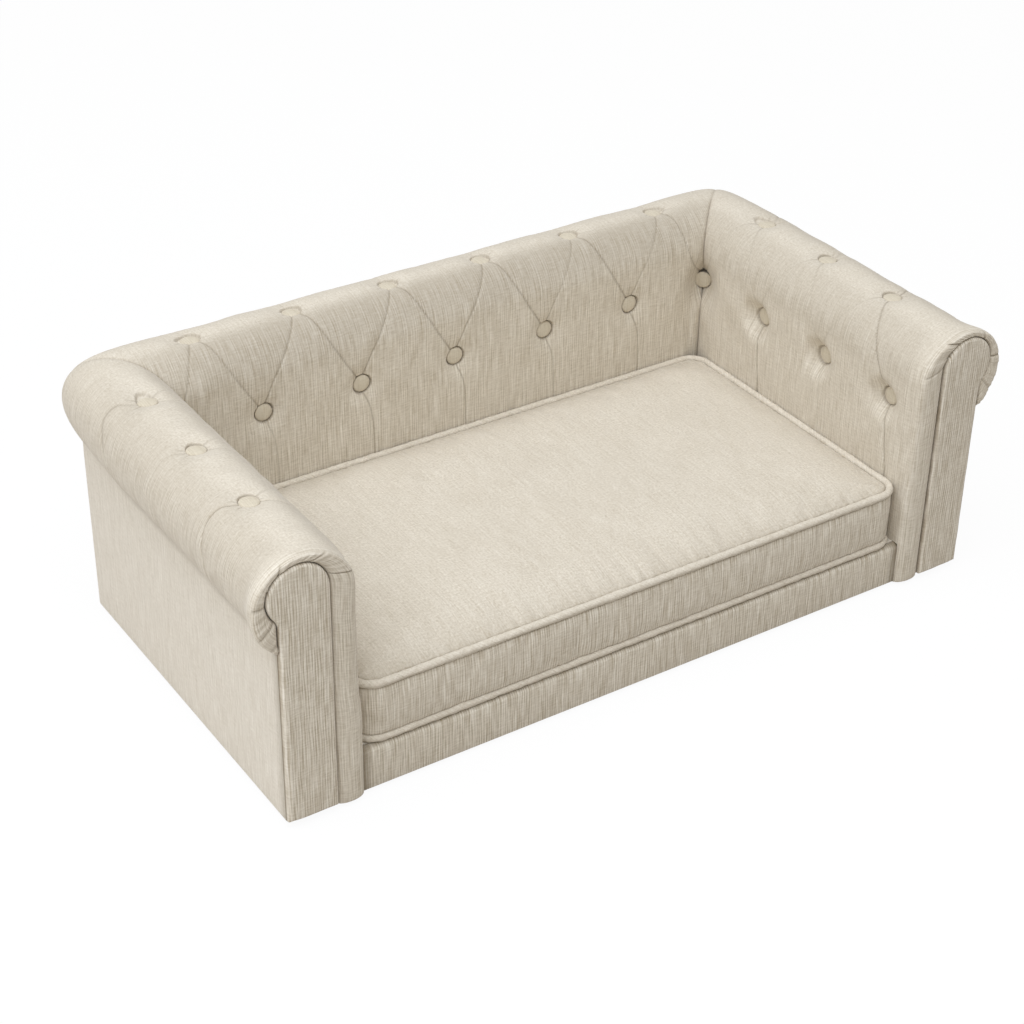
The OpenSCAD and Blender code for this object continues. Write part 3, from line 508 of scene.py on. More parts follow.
def spanOf(side):  # from the lower buttons to the top of the roll
    r = rollRadius(side)
    return padding["high"] - r - padding["row"] + r * np.pi / 2


def sectionPoint(side, along, sink):
    r = rollRadius(side)
    centre = padding["high"] - r
    rise = centre - padding["row"]
    angle = np.pi - np.maximum(0, (along - rise) / r)
    out = np.where(along < rise, sink, r + (r - sink) * np.cos(angle))
    high = np.where(along < rise, padding["row"] + along, centre + (r - sink) * np.sin(angle))
    return out, high


def endAngle(tilt, side, w, own, other):
    far = squareness(tilt)
    out = np.minimum(own / (far * np.cos(tilt)), (other + w) / np.maximum(far * np.sin(tilt), 1e-6))
    r = rollRadius(side)
    return np.arccos((out - r) / r)


def steps(start, end, marks):
    # Places from start to end, closer together near the marks
    places, at = [start], start
    while at < end:
        near = min((abs(at - m) for m in marks), default=1e9)
        at += padding["fineStep"] if near < padding["fineReach"] else padding["step"]
        places.append(at)
    places = np.array(places)
    return start + (places - start) * (end - start) / (places[-1] - start)


def sectionRows():
    # Zone 0 is the wall, 1 the part up to the top of the roll and 2 the part over it and under
    low, span, top = padding["low"] - padding["row"], float(spanOf(0)), padding["hiddenBelow"]
    hidden = np.linspace(low, top, int((top - low) / padding["hiddenStep"]) + 1)[:-1]
    wall, over = steps(top, 0, [0]), steps(0, span, [0, span])
    under = steps(0, padding["underRows"], [0])[1:]
    zone = np.concatenate([0 * hidden, 0 * wall[:-1], 0 * over + 1, 0 * under + 2])
    return zone, np.concatenate([hidden, wall[:-1], over / span, under / padding["underRows"]])


def curved(path, steps=6):
    points = np.array(path, float)
    if len(points) < 3:
        return np.linspace(points[0], points[-1], steps + 1)
    padded = np.vstack([2 * points[0] - points[1], points, 2 * points[-1] - points[-2]])
    made = []
    for a, b, c, d in zip(padded, padded[1:], padded[2:], padded[3:]):
        for t in np.arange(steps) / steps:
            made.append(0.5 * (2 * b + (c - a) * t + (2 * a - 5 * b + 4 * c - d) * t ** 2
                               + (3 * b - a - 3 * c + d) * t ** 3))
    return np.array(made + [points[-1]])


def pathDistance(path, x, y):
    best = np.full(x.shape, 1e9)
    hand, share = np.zeros(x.shape), np.zeros(x.shape)
    for i, (a, b) in enumerate(zip(path[:-1], path[1:])):
        run = b - a
        t = np.clip(((x - a[0]) * run[0] + (y - a[1]) * run[1]) / max(run @ run, 1e-9), 0, 1)
        dx, dy = x - a[0] - t * run[0], y - a[1] - t * run[1]
        gap = np.hypot(dx, dy)
        near = gap < best
        best = np.where(near, gap, best)
        hand = np.where(near, np.sign(run[0] * dy - run[1] * dx), hand)
        share = np.where(near, (i + t) / (len(path) - 1), share)
    return best, hand, share


pleatShape = {
    "deep": 0.72, "width": 1.15, "soft": 0.3, "softReach": 7.0, "lap": 0.3, "lapReach": 4.0, "bound": 28.0,
    # Painted shade along the crease: line is its width and dark its strength
    "line": 0.8, "dark": 0.55, "darkDepth": 1.8,  # a pleat this deep is as dark as any
    "wrinkleFrom": 10, "wrinkleLap": 0.6,
}


def pleatSink(x, y, pleat, pitch):
    path = curved([(c * pitch, a) for c, a in pleat["path"]])
    low, high = path.min(0) - pleatShape["bound"], path.max(0) + pleatShape["bound"]
    near = (x > low[0]) & (x < high[0]) & (y > low[1]) & (y < high[1])
    sink, fold = np.zeros(x.shape), np.zeros(x.shape)
    if not near.any():
        return sink, fold
    gap, hand, share = pathDistance(path, x[near], y[near])
    start, middle, end = (d * pleatShape["deep"] for d in pleat["depth"])
    between = [start, (start + 2 * middle) / 3, middle, (end + 2 * middle) / 3, end]
    depth = np.interp(share, np.linspace(0, 1, len(between)), between)
    if pleat.get("broad"):
        sink[near] = depth * np.exp(-(gap / pleat["broad"]) ** 2)
        return sink, fold
    line = np.exp(-(gap / pleatShape["width"]) ** 2)
    soft = np.exp(-gap / pleatShape["softReach"])
    lap = pleat.get("lap", 1) * pleatShape["lap"] * hand * (1 - line) * np.exp(-gap / pleatShape["lapReach"])
    crease = (1 - pleatShape["soft"]) * line + pleatShape["soft"] * soft
    sink[near] = depth * crease + lap * np.minimum(1, depth / 2)
    # Painted shade along the crease, fuller on deeper pleats
    dark = pleatShape["dark"] * np.minimum(1, depth / pleatShape["darkDepth"])
    fold[near] = dark * np.exp(-(gap / pleatShape["line"]) ** 2)
    return sink, fold


def tufting(x, y, buttons, pleats, pitch):
    sink, fold = np.zeros(x.shape), np.zeros(x.shape)
    for column, along, wide, well, reach, dark in buttons:
        gap = np.hypot(x - column * pitch, y - along)
        ragged = gap + padding["ragged"] * np.sin(3 * np.arctan2(y - along, x - column * pitch) + column)
        inside = 1 - smoothstep(ragged, padding["wellIn"], padding["wellOut"])
        dish = np.exp(-(np.maximum(gap - padding["dish"], 0) / reach) ** 2 / 2)
        sink = np.maximum(sink, wide * dish + well * inside)
        # Painted shade in a ring at the well's rim
        fold = np.maximum(fold, dark * np.exp(-((ragged - padding["wellDark"]) / padding["wellLine"]) ** 2))
    lines = np.zeros(x.shape)
    for pleat in pleats:
        one, dark = pleatSink(x, y, pleat, pitch)
        lines = np.where(np.abs(one) > np.abs(lines), one, lines)
        fold = np.maximum(fold, dark)
    return sink + lines, fold


def rowsAlong(zone, share, side, last):
    span, r = spanOf(side), rollRadius(side)
    return np.where(zone == 0, share, np.where(zone == 1, share * span, span + share * r * (np.pi / 2 + last)))


def liningLoop(last, count=9):  # inner faces: around the roll core and down the board
    angle = np.linspace(-last, np.pi, count)
    out = padding["coreOut"] + padding["coreRadius"] * np.cos(angle)
    high = padding["coreHigh"] + padding["coreRadius"] * np.sin(angle)
    out, high = np.append(out, padding["wadding"]), np.append(high, padding["low"])
    return out, high


def closeEnds(loops, size, outer):
    faces = []
    for base in (0, (loops - 1) * size):
        inner = size - outer
        for v in range(outer - 1):
            m = size - 1 - round(v * (inner - 1) / (outer - 1))
            n = size - 1 - round((v + 1) * (inner - 1) / (outer - 1))
            places = (v, m, v + 1) if m == n else (v, m, n, v + 1)
            faces.append([base + place for place in places])
    return faces


def ringTarget(out, high, angle):
    # The point of the facing's outline that a point of the roll is gathered to
    head, stem, clear = np.radians(ring["headTurn"]), np.radians(ring["stemTurn"]), ring["clear"]
    r = facing["headRadius"] + clear
    centre = padding["high"] - padding["armRoll"]
    low = padding["low"]
    wall = low + (high - low) * (facing["headHigh"] - low) / (centre - low)
    turn = np.pi - (np.pi - angle) * (np.pi + head) / (np.pi + stem)
    last = -endAngle(0.0, 0.0, ring["straight"], padding["armThick"], padding["backThick"])
    share = np.clip((angle + stem) / (last + stem), 0, 1)
    neck = facing["headHigh"] + r * math.sin(-head)
    targetOut = np.where(angle > np.pi - 1e-6, facing["inner"] - clear, facing["headOut"] + r * np.cos(turn))
    targetHigh = np.where(angle > np.pi - 1e-6, wall, facing["headHigh"] + r * np.sin(turn))
    under = angle < -stem
    headEdge = facing["headOut"] + r * math.cos(head)
    toStem = headEdge + smoothstep(share, 0, ring["stemShare"]) * (facing["outer"] + clear - headEdge)
    targetOut = np.where(under, toStem, targetOut)
    targetHigh = np.where(under, neck + share * (high[-1] - ring["underGap"] - neck), targetHigh)
    return targetOut, targetHigh


def ringColumns():  # shares of the way from the roll to the facing
    return 0.5 * (1 - np.cos(np.pi * np.arange(1, ring["columns"] + 1) / ring["columns"]))


def ringRaise(share, power):  # how far forward the cloth stands there, 1 at the most
    power = power if share < 0.5 else ring["square"]
    return (1 - np.abs(2 * share - 1) ** power) ** (1 / ring["soft"])


# Painted shade on the flanks of the rolls: the cloth is darkened there, below the lighter tops; the shares and where
# they begin
flanks = {
    "arm": (0.16, 0.19), "back": (0.32, 0.1), "mitre": (0.2, 0.1), "mitreReach": 60.0, "frontFrom": (2, 26),
    "armOuter": (130, 160), "backOuter": (155, 190), "under": (190, 228), "underKeeps": 0.35,
    "armInner": (15, 60, 92, 116), "backInner": (34, 88, 100, 124),
}


def flankShade(level, wide, toFront, isArm):
    share = smoothstep(wide, 0, flanks["mitreReach"])
    rise, full, fade, end = flanks["armInner" if isArm else "backInner"]
    own = flanks["arm" if isArm else "back"]
    inner = smoothstep(level, rise, full) * (1 - smoothstep(level, fade, end))
    outer = smoothstep(level, *flanks["armOuter" if isArm else "backOuter"])
    outer = outer * (1 - (1 - flanks["underKeeps"]) * smoothstep(level, *flanks["under"]))
    mostInner, mostOuter = (middle + (value - middle) * share for value, middle in zip(own, flanks["mitre"]))
    return (mostInner * inner + mostOuter * outer) * smoothstep(toFront, *flanks["frontFrom"])


def addRing(layout, out, high, along, level, length):
    # Gathers the roll's front edge over the rim of the facing: points, map and painted shade of the added columns
    centre = padding["high"] - padding["armRoll"]
    angle = np.where(along < centre - padding["row"], np.pi,
                     np.pi - (along - centre + padding["row"]) / padding["armRoll"])
    toOut, toHigh = ringTarget(out, high, angle)
    reach = np.maximum(np.hypot(toOut - out, toHigh - high), ring["pushFrom"][0])
    forward = (ring["depth"] + ring["bulge"]) * smoothstep(reach, *ring["pushFrom"])
    gathers, creaseShades = np.zeros(len(along)), np.zeros(len(along))
    # Painted shade in the creases of the gathers
    for place, depth in layout["gathers"]:
        gathers = np.maximum(gathers, depth * np.exp(-((along - place) / ring["gather"]) ** 2))
        creaseShades = np.maximum(creaseShades, ring["creaseDark"] * np.exp(-((along - place) / ring["crease"]) ** 2))
    low, more, size = ring["ripple"]
    ripple = low + more * smoothstep(level, *ring["rippleFrom"])
    ripple = unevenness(along, 0 * along, layout["seed"] + 3, size) * ripple
    power = ring["round"] + ring["sharp"] * smoothstep(level, 0, ring["sharpTo"])
    before, run = np.stack([out, 0 * out, high], -1), np.zeros(len(along))
    points, cloth, fold = [], [], []
    for value in ringColumns():
        weight = min(1.0, ring["calmEdges"] * value * (1 - value))
        push = forward * ringRaise(value, power) - weight * (gathers + ripple)
        now = np.stack([out + (toOut - out) * value, push, high + (toHigh - high) * value], -1)
        run = run + np.linalg.norm(now - before, axis=1)
        before = now
        points.append(np.stack([-halfWidth - now[:, 0], frontY + ring["depth"] - push, now[:, 2]], -1))
        cloth.append(np.stack([length + run, along], -1))
        # Painted shade along the edge that meets the facing
        close = np.exp(-(reach * (1 - value) / ring["edgeLine"]) ** 2)
        fold.append(np.maximum(creaseShades * weight, ring["edgeDark"] * close))
    return np.array(points), np.array(cloth), np.array(fold)


def stations(isArm, corner, pitch):
    # Distances from the corner seam, and which side of the middle each lies on
    near = padding["mitreGap"] + np.array(padding["nearMitre"])
    length = seatDepth - ring["depth"] if isArm else halfWidth
    marks = [0] + [corner + c * pitch if isArm else halfWidth - c * pitch for c in range(padding["pitches"] + 1)]
    w = np.concatenate([near[:-1], steps(near[-1], length, marks)])
    if isArm:
        return w, np.ones(len(w))
    return np.concatenate([w, w[-2::-1]]), np.concatenate([-np.ones(len(w)), np.ones(len(w) - 1)])


def mitredPlaces(isArm, w, signs, out, slope):
    # From the distance along the seat's edge and the distance out of it to x and y
    if isArm:
        return -halfWidth - out, wallY - w + out * slope
    return signs * (halfWidth - w + out * slope), wallY + out


def roughened(sink, layout, across, level, wide):
    seam = (padding["seamSink"] * np.exp(-wide / padding["seamWidth"])
            + padding["seamSoft"] * np.exp(-wide / padding["seamReach"]))
    lumps = sum(deep * unevenness(across, level, layout["seed"] + n, size) for deep, size, n in padding["lumps"])
    calm = (smoothstep(wide, 0, padding["calmSeam"])
            * smoothstep(level, padding["low"] - padding["row"], padding["calmLow"]))
    return sink + seam * np.exp(-sink / padding["seamFade"]) + calm * lumps


def raisedNap(isArm, level, toFront):
    plain, begin, full = raised["arm" if isArm else "back"]
    worn = plain + (1 - plain) * smoothstep(level, begin, full)
    worn = worn * (1 - raised["lost"] * smoothstep(level, *raised["behind"]))
    return worn * (1 - raised["front"][0] * np.exp(-(toFront / raised["front"][1]) ** 2))


def makePadding(name, hand, layout):
    # w is the distance from the corner seam, level the height along the section, column the place in the tufting
    isArm = hand != 0
    corner = padding["armCorner" if isArm else "backCorner"]
    pitch = padding["armPitch" if isArm else "backPitch"]
    thick = (padding["armThick"], padding["backThick"])
    own, other = thick if isArm else thick[::-1]
    w, signs = stations(isArm, corner, pitch)
    share = np.clip(w / corner, 0, 1)
    tilt = np.radians(padding["mitreTurn"]) * (1 - share)
    side = 0.5 * (1 - share) if isArm else 0.5 + 0.5 * share
    last = endAngle(tilt, side, w, own, other)
    zone, rowShare = sectionRows()
    along = rowsAlong(zone[None, :], rowShare[None, :], side[:, None], last[:, None])
    if isArm:
        column = np.where(w < corner, w / corner, 1 + (w - corner) / pitch)
    else:
        column = signs * np.where(w < corner, padding["pitches"] + 1 - w / corner, (halfWidth - w) / pitch)
    across = np.repeat((column * pitch)[:, None], along.shape[1], 1)
    span = float(spanOf(0 if isArm else 1))
    level = np.where(zone[None, :] == 1, rowShare[None, :] * span,
                     np.where(zone[None, :] == 2, along - spanOf(side[:, None]) + span, along))
    sink, fold = tufting(across, level, layout["buttons"], layout["pleats"], pitch)
    wide = np.repeat(w[:, None], along.shape[1], 1)
    sink = roughened(sink, layout, across, level, wide)
    # Painted shade along the corner seam
    fold = np.maximum(fold, padding["seamDark"] * np.exp(-(wide / padding["seamLine"]) ** 2))
    under = (zone == 2)[None, :] * smoothstep(rowShare[None, :], padding["tuckFrom"], 1.0)
    toFront = seatDepth - w[:, None] if isArm else padding["far"] + 0 * w[:, None]
    sink = sink + padding["tuck"] * under * smoothstep(toFront, *padding["tuckFront"])
    flare = (ring["flare"] * smoothstep(level, *ring["flareFrom"])
             - ring["inset"] * smoothstep(level, *ring["insetFrom"]))
    sink = sink - flare * np.exp(-(toFront / ring["flareReach"]) ** 2)
    # Painted shade where the cloth is tucked under the roll
    fold = np.maximum(fold, padding["tuckDark"] * under)
    # Painted shade on the flanks of the rolls
    fold = 1 - (1 - fold) * (1 - flankShade(level, wide, toFront, isArm))
    out, high = sectionPoint(side[:, None], along, sink)
    across = out * (squareness(tilt) * np.cos(tilt))[:, None]
    slope = np.tan(tilt)
    x, y = mitredPlaces(isArm, w[:, None], signs[:, None], across, slope[:, None])
    worn = raisedNap(isArm, level, toFront)
    cloth = np.stack([-y if isArm else x, along], -1)
    points = np.stack([x, y, high], -1)
    lining = []
    for distance, sign, lean, turn in zip(w, signs, slope, last):
        innerOut, innerHigh = liningLoop(turn)
        lining.append(np.stack([*mitredPlaces(isArm, distance, sign, innerOut, lean), innerHigh], -1))
    lining = np.array(lining)
    if isArm:
        ringPoints, ringCloth, ringShade = addRing(layout, out[-1], high[-1], along[-1], level[-1], cloth[-1, 0, 0])
        points, cloth = np.concatenate([points, ringPoints]), np.concatenate([cloth, ringCloth])
        fold = np.concatenate([fold, ringShade])
        worn = np.concatenate([worn, raised["ring"] * np.repeat(worn[-1:], len(ringPoints), 0)])
        moved = np.repeat(lining[-1:], len(ringPoints), 0)
        inward = 1 - np.linspace(0, ring["liningShare"], len(ringPoints))
        moved[:, :, 1] = frontY + ring["depth"] * inward[:, None]
        lining = np.concatenate([lining, moved])
    outer = points.shape[1]
    loops = np.concatenate([points, lining], 1)
    unseen = np.zeros(lining.shape[:2])
    cloth = np.concatenate([cloth, np.stack([unseen, unseen], -1)], 1)
    fold, worn = np.concatenate([fold, unseen], 1), np.concatenate([worn, unseen], 1)
    count, size = loops.shape[:2]
    faces = gridFaces(count, size, closedColumns=True) + closeEnds(count, size, outer)
    return addPiece(name, mirrored(loops.reshape(-1, 3), hand), faces, tuftedLinen,
                    cloth=cloth.reshape(-1, 2), fold=fold.ravel(), worn=worn.ravel(), sharp=padding["sharp"])


armTop, backTop = float(spanOf(0)), float(spanOf(1))
armPitch, backPitch = padding["armPitch"], padding["backPitch"]


def pleat(column, along, route, depth, **more):
    # route: columns and millimetres from the button; depth: at the start, the middle and the end
    return {"path": [(column + c, along + a) for c, a in route], "depth": depth, **more}


def wrinkles(column, along, pitch, spread, depth):  # short folds that leave a button
    made = []
    for turn, length in spread:
        c, a = math.cos(turn) / pitch, math.sin(turn)
        near = pleatShape["wrinkleFrom"]
        route = ((c * near, a * near), (c * length, a * length))
        made.append(pleat(column, along, route, depth, lap=pleatShape["wrinkleLap"]))
    return made


armRoutes = {
    "rising": ((0, 0), (0.12, 22), (0.3, 45), (0.52, 70), (0.74, 94), (0.9, 113), (1, armTop)),
    "leaning": ((0, 0), (-0.07, 20), (-0.24, 42), (-0.43, 64), (-0.64, 88), (-0.84, 108), (-1, armTop)),
    "over": ((0, 0), (-0.02, 18), (-0.12, 32), (-0.13, 52), (-0.02, 74), (0.12, 100), (0.2, 130)),
    "corner": ((0.28, -8), (0.3, -60), (0.26, -150)),
}
armWrinkles = ((1.15, 24), (1.5, 19), (1.95, 23), (-1.1, 22), (-1.5, 18), (-2.0, 25))


armTufts = {
    "lowColumns": (2, 4, 6), "topColumns": (1, 3, 5), "risingColumns": (0, 2, 4),
    # Buttons: depth of the hollow (the lower ones' comes with the arm), depth of the well, reach, the painted shade
    # at the well's rim
    "cornerButton": (17, 4, 14, 0.4), "lowButton": (3, 9, 0.45), "topButton": (5.4, 3.5, 10),
    "topRims": (0.3, 0.55, 0.55),
    # Pleats: depth at the start, the middle and the end; those that run down have how far they lean as well
    "rising": (1.8, 0.3, 1.4), "leaning": ((2.2, 0.3, 2.2), (2.2, 0.3, 2.2), (2.2, 2.4, 2.2)),
    "down": ((0.22, (3.6, 2.4, 2.6)), (0.22, (2.2, 0.7, 0.4)), (0.3, (3.8, 2.6, 2.6))),
    "over": ((0.5, 1.7, 0.9), (1.6, 0.4, 0.1), (2.8, 2.4, 1.2)), "wrinkle": (2.0, 1.2, 0.0),
    "corner": (0.5, 1.2, 0.8), "broad": 6,
}


def armLayout(seed, deep, gathers):
    t = armTufts
    buttons = [(0, 0, *t["cornerButton"])] + [(c, 0, deep, *t["lowButton"]) for c in t["lowColumns"]]
    buttons += [(c, armTop, *t["topButton"], rim) for c, rim in zip(t["topColumns"], t["topRims"])]
    pleats = [pleat(low, 0, armRoutes["rising"], t["rising"]) for low in t["risingColumns"]]
    pleats += [pleat(low, 0, armRoutes["leaning"], depth) for low, depth in zip(t["lowColumns"], t["leaning"])]
    for low, (lean, depth) in zip(t["lowColumns"], t["down"]):
        down = ((0, 0), (0.02, -14), (lean * 0.5, -34), (lean * 0.72, -60), (lean, -90), (lean, -150))
        pleats.append(pleat(low, 0, down, depth))
    pleats += [pleat(top, armTop, armRoutes["over"], depth) for top, depth in zip(t["topColumns"], t["over"])]
    for top in t["topColumns"]:
        pleats += wrinkles(top, armTop, armPitch, armWrinkles, t["wrinkle"])
    pleats.append(pleat(0, 0, armRoutes["corner"], t["corner"], broad=t["broad"]))
    gathers = [(rollAlong(angle), depth) for angle, depth in gathers]
    return {"seed": seed, "buttons": buttons, "pleats": pleats, "gathers": gathers}


def rollAlong(angle):  # distance along the section at an angle of the roll, 180 inside and 90 on top
    rise = padding["high"] - padding["armRoll"] - padding["row"]
    return rise + padding["armRoll"] * math.radians(180 - angle)


arms = {  # seed, depth of the lower buttons' hollows, and the angle and depth of each gather at the facing
    "left": (11, 8, ((160, 1.3), (112, 1.6), (60, 1.9), (8, 2.0), (-28, 1.9), (-44, 1.2))),
    "right": (23, 14, ((168, 1.3), (116, 1.9), (58, 2.2), (12, 1.9), (-30, 1.4))),
}
leftArm = makePadding("leftArmPadding", -1, armLayout(*arms["left"]))
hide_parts("left_arm_padding")
rightArm = makePadding("rightArmPadding", 1, armLayout(*arms["right"]))
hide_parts("right_arm_padding")

backRoutes = {
    "rising": ((0, 0), (0.07, 20), (0.2, 40), (0.4, 61), (0.62, 81), (0.84, 103), (1, backTop)),
    "leaning": ((0, 0), (-0.23, 23), (-0.4, 40), (-0.61, 65), (-0.74, 86), (-0.82, 101), (-0.9, 112), (-1, backTop)),
    "down": ((0, 0), (0.04, -14), (0.13, -30), (0.18, -50), (0.2, -80), (0.2, -150)),
    "over": ((0, 0), (-0.05, 20), (-0.08, 50), (-0.05, 80)),
}
backWrinkles = ((-0.5, 22), (-1.0, 17), (-2.1, 17), (-2.65, 23), (0.15, 18), (2.95, 19))
backTufts = {
    "lowColumns": (-4, -2, 0, 2, 4), "topColumns": (-5, -3, -1, 1, 3, 5), "cornerColumns": (-6, 6),
    "lowButton": (4.5, 4, 9, 0.7), "topButton": (5.0, 3.5, 10, 0.4), "cornerButton": (17, 4, 14, 0.4),
    # Pleats: depth at both ends, their lap, and the depth at the middle by column
    "rising": (2.6, 2.4, 1, {-6: 1.6, -4: 1.9, -2: 1.9, 0: 2.0, 2: 1.0, 4: 0.9}),
    "leaning": (2.6, 2.6, -1, {-4: 1.7, -2: 2.1, 0: 2.2, 2: 2.1, 4: 2.2, 6: 1.7}),
    "down": (2.8, 1.6, 1, {-4: 1.0, -2: 2.0, 0: 2.1, 2: 1.5, 4: 1.9}),
    "over": (1.8, 0.4, 0.0), "wrinkle": (1.8, 1.1, 0.0), "corner": (1.0, 2.6, 2.0), "broad": 6,
}
backButtons = [(c, 0, *backTufts["lowButton"]) for c in backTufts["lowColumns"]]
backButtons += [(c, backTop, *backTufts["topButton"]) for c in backTufts["topColumns"]]
backButtons += [(c, 0, *backTufts["cornerButton"]) for c in backTufts["cornerColumns"]]
backPleats = []
for route in ("rising", "leaning", "down"):
    start, end, lap, middles = backTufts[route]
    backPleats += [pleat(low, 0, backRoutes[route], (start, deep, end), lap=lap) for low, deep in middles.items()]
for top in backTufts["topColumns"]:
    backPleats.append(pleat(top, backTop, backRoutes["over"], backTufts["over"]))
    backPleats += wrinkles(top, backTop, backPitch, backWrinkles, backTufts["wrinkle"])
for hand in (-1, 1):
    corner = ((hand * 5.66, -12), (hand * 5.66, -60), (hand * 5.68, -150))
    backPleats.append(pleat(0, 0, corner, backTufts["corner"], broad=backTufts["broad"]))
backPadding = makePadding("backPadding", 0, {"seed": 5, "buttons": backButtons, "pleats": backPleats})
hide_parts("back_padding")
print("stage: tufted padding made,", sum(len(p.data.vertices) for p in (leftArm, rightArm, backPadding)), "points")


# Covered buttons: a flat dome over a rolled rim, narrower underneath
button = {
    "turns": 48, "lean": 0.05, "rim": 10.6, "rimWide": 1.2, "waves": ((0.16, 13, 1), (0.1, 21, 2)),
    # dark, darkFrom and darkOut: painted shade over the rolled rim and the underside
    "mapStep": (31.0, 17.0), "dark": 0.75, "darkFrom": (1.5, 3.0), "darkOut": 5, "seed": 40, "sharp": 70, "fill": 0.9,
    "profile": [  # radius and drop
        (0.0, 0.0), (3.0, -0.06), (6.0, -0.28), (8.2, -0.62), (9.6, -1.05), (10.5, -1.6), (10.95, -2.3),
        (11.0, -3.0), (10.7, -3.8), (9.8, -4.7), (8.0, -5.6), (5.5, -6.4), (3.0, -7.0), (0.0, -7.2)],
}


def buttonMesh(places):
    profile, turns = button["profile"], button["turns"]
    angle = np.arange(turns) * 2 * np.pi / turns
    points, faces, cloth, fold = [], [], [], []
    for index, (place, normal) in enumerate(places):
        turn = np.array(Vector(normal).normalized().to_track_quat("Z", "Y").to_matrix())
        lean = np.random.default_rng(index + button["seed"]).uniform(-button["lean"], button["lean"], 2)
        base = len(points)
        local = [[(0.0, 0.0, profile[0][1])]]
        for radius, drop in profile[1:-1]:
            rim = math.exp(-((radius - button["rim"]) / button["rimWide"]) ** 2)
            radii = radius + sum(deep * rim * np.sin(angle * n + shift * index) for deep, n, shift in button["waves"])
            x, y = radii * np.cos(angle), radii * np.sin(angle)
            local.append(np.stack([x, y, drop + lean[0] * x + lean[1] * y], -1))
        local = np.concatenate(local + [[(0.0, 0.0, profile[-1][1])]])
        points.extend((local @ turn.T + np.array(place)).tolist())
        cloth.extend((local[:, :2] + np.array(button["mapStep"]) * index).tolist())
        outside = np.hypot(local[:, 0], local[:, 1]) > button["darkOut"]
        # Painted shade over the rolled rim and the underside
        fold.extend((button["dark"] * smoothstep(-local[:, 2], *button["darkFrom"]) * outside).tolist())
        rings = len(profile) - 2
        faces += gridFaces(rings, turns, closedColumns=True, first=base + 1)
        end = base + len(local) - 1
        for a in range(turns):
            b = (a + 1) % turns
            faces += [[base, base + 1 + a, base + 1 + b], [end - turns + a, end, end - turns + b]]
    return points, faces, cloth, fold


def addButtons(name, node, places):
    points, faces, cloth, fold = buttonMesh(places)
    piece = addPiece(name, points, faces, buttonLinen, cloth=cloth, fold=fold, sharp=button["sharp"])
    standFor(node)


faceDepth = {"backLow": 4.6, "backTop": 6.6, "leftLow": 8.0, "rightLow": 13.4, "armTop": 5.6, "corner": 13.87}
row, highest = padding["row"], padding["high"]
addButtons("backLowButtons", "back_low_buttons", [
    ((c * backPitch, wallY + faceDepth["backLow"], row), (0, -1, 0)) for c in backTufts["lowColumns"]])
addButtons("backTopButtons", "back_top_buttons", [
    ((c * backPitch, wallY + padding["backRoll"], highest - faceDepth["backTop"]), (0, 0, 1))
    for c in backTufts["topColumns"]])
armY = {c: wallY - padding["armCorner"] - (c - 1) * armPitch for c in range(1, padding["pitches"] + 2)}
for side, name in ((-1, "left"), (1, "right")):
    lowX, topX = side * (halfWidth + faceDepth[name + "Low"]), side * (halfWidth + padding["armRoll"])
    addButtons(name + "LowButtons", name + "_low_buttons", [
        ((lowX, armY[c], row), (-side, 0, 0)) for c in armTufts["lowColumns"]])
    addButtons(name + "TopButtons", name + "_top_buttons", [
        ((topX, armY[c], highest - faceDepth["armTop"]), (0, 0, 1)) for c in armTufts["topColumns"]])
cornerOut = faceDepth["corner"] * math.sqrt(0.5)
addButtons("cornerButtons", "corner_buttons", [
    ((side * (halfWidth + cornerOut), wallY + cornerOut, row), (-side, -1, 0)) for side in (-1, 1)])
print("stage: buttons made")


# Facings: club-shaped covered panels at the front of the arms
def facingRows():
    f = facing
    top = f["headHigh"] + f["headRadius"]
    stem = np.arange(f["low"] + f["rowsFrom"], f["headHigh"] + f["rowsPast"], f["rowStep"])
    rows = [f["low"] + d for d in f["fine"]] + list(stem)
    rows += [top - f["headRadius"] * (1 - math.sin(math.radians(a))) for a in f["headRows"]]
    return sorted(set(round(r, 3) for r in rows)) + [top - f["tip"]]


def facingEdges(z):  # where the outline lies at a height, with a soft neck under the head
    f = facing
    half = math.sqrt(max(f["headRadius"] ** 2 - (z - f["headHigh"]) ** 2, 0.0))
    left, right = f["headOut"] - half, f["headOut"] + half
    if z < f["headHigh"]:
        left, neck = f["inner"], f["neck"]
        right = max(right, f["outer"]) + neck * math.exp(-abs(right - f["outer"]) / neck) * 0.5
    return left, right


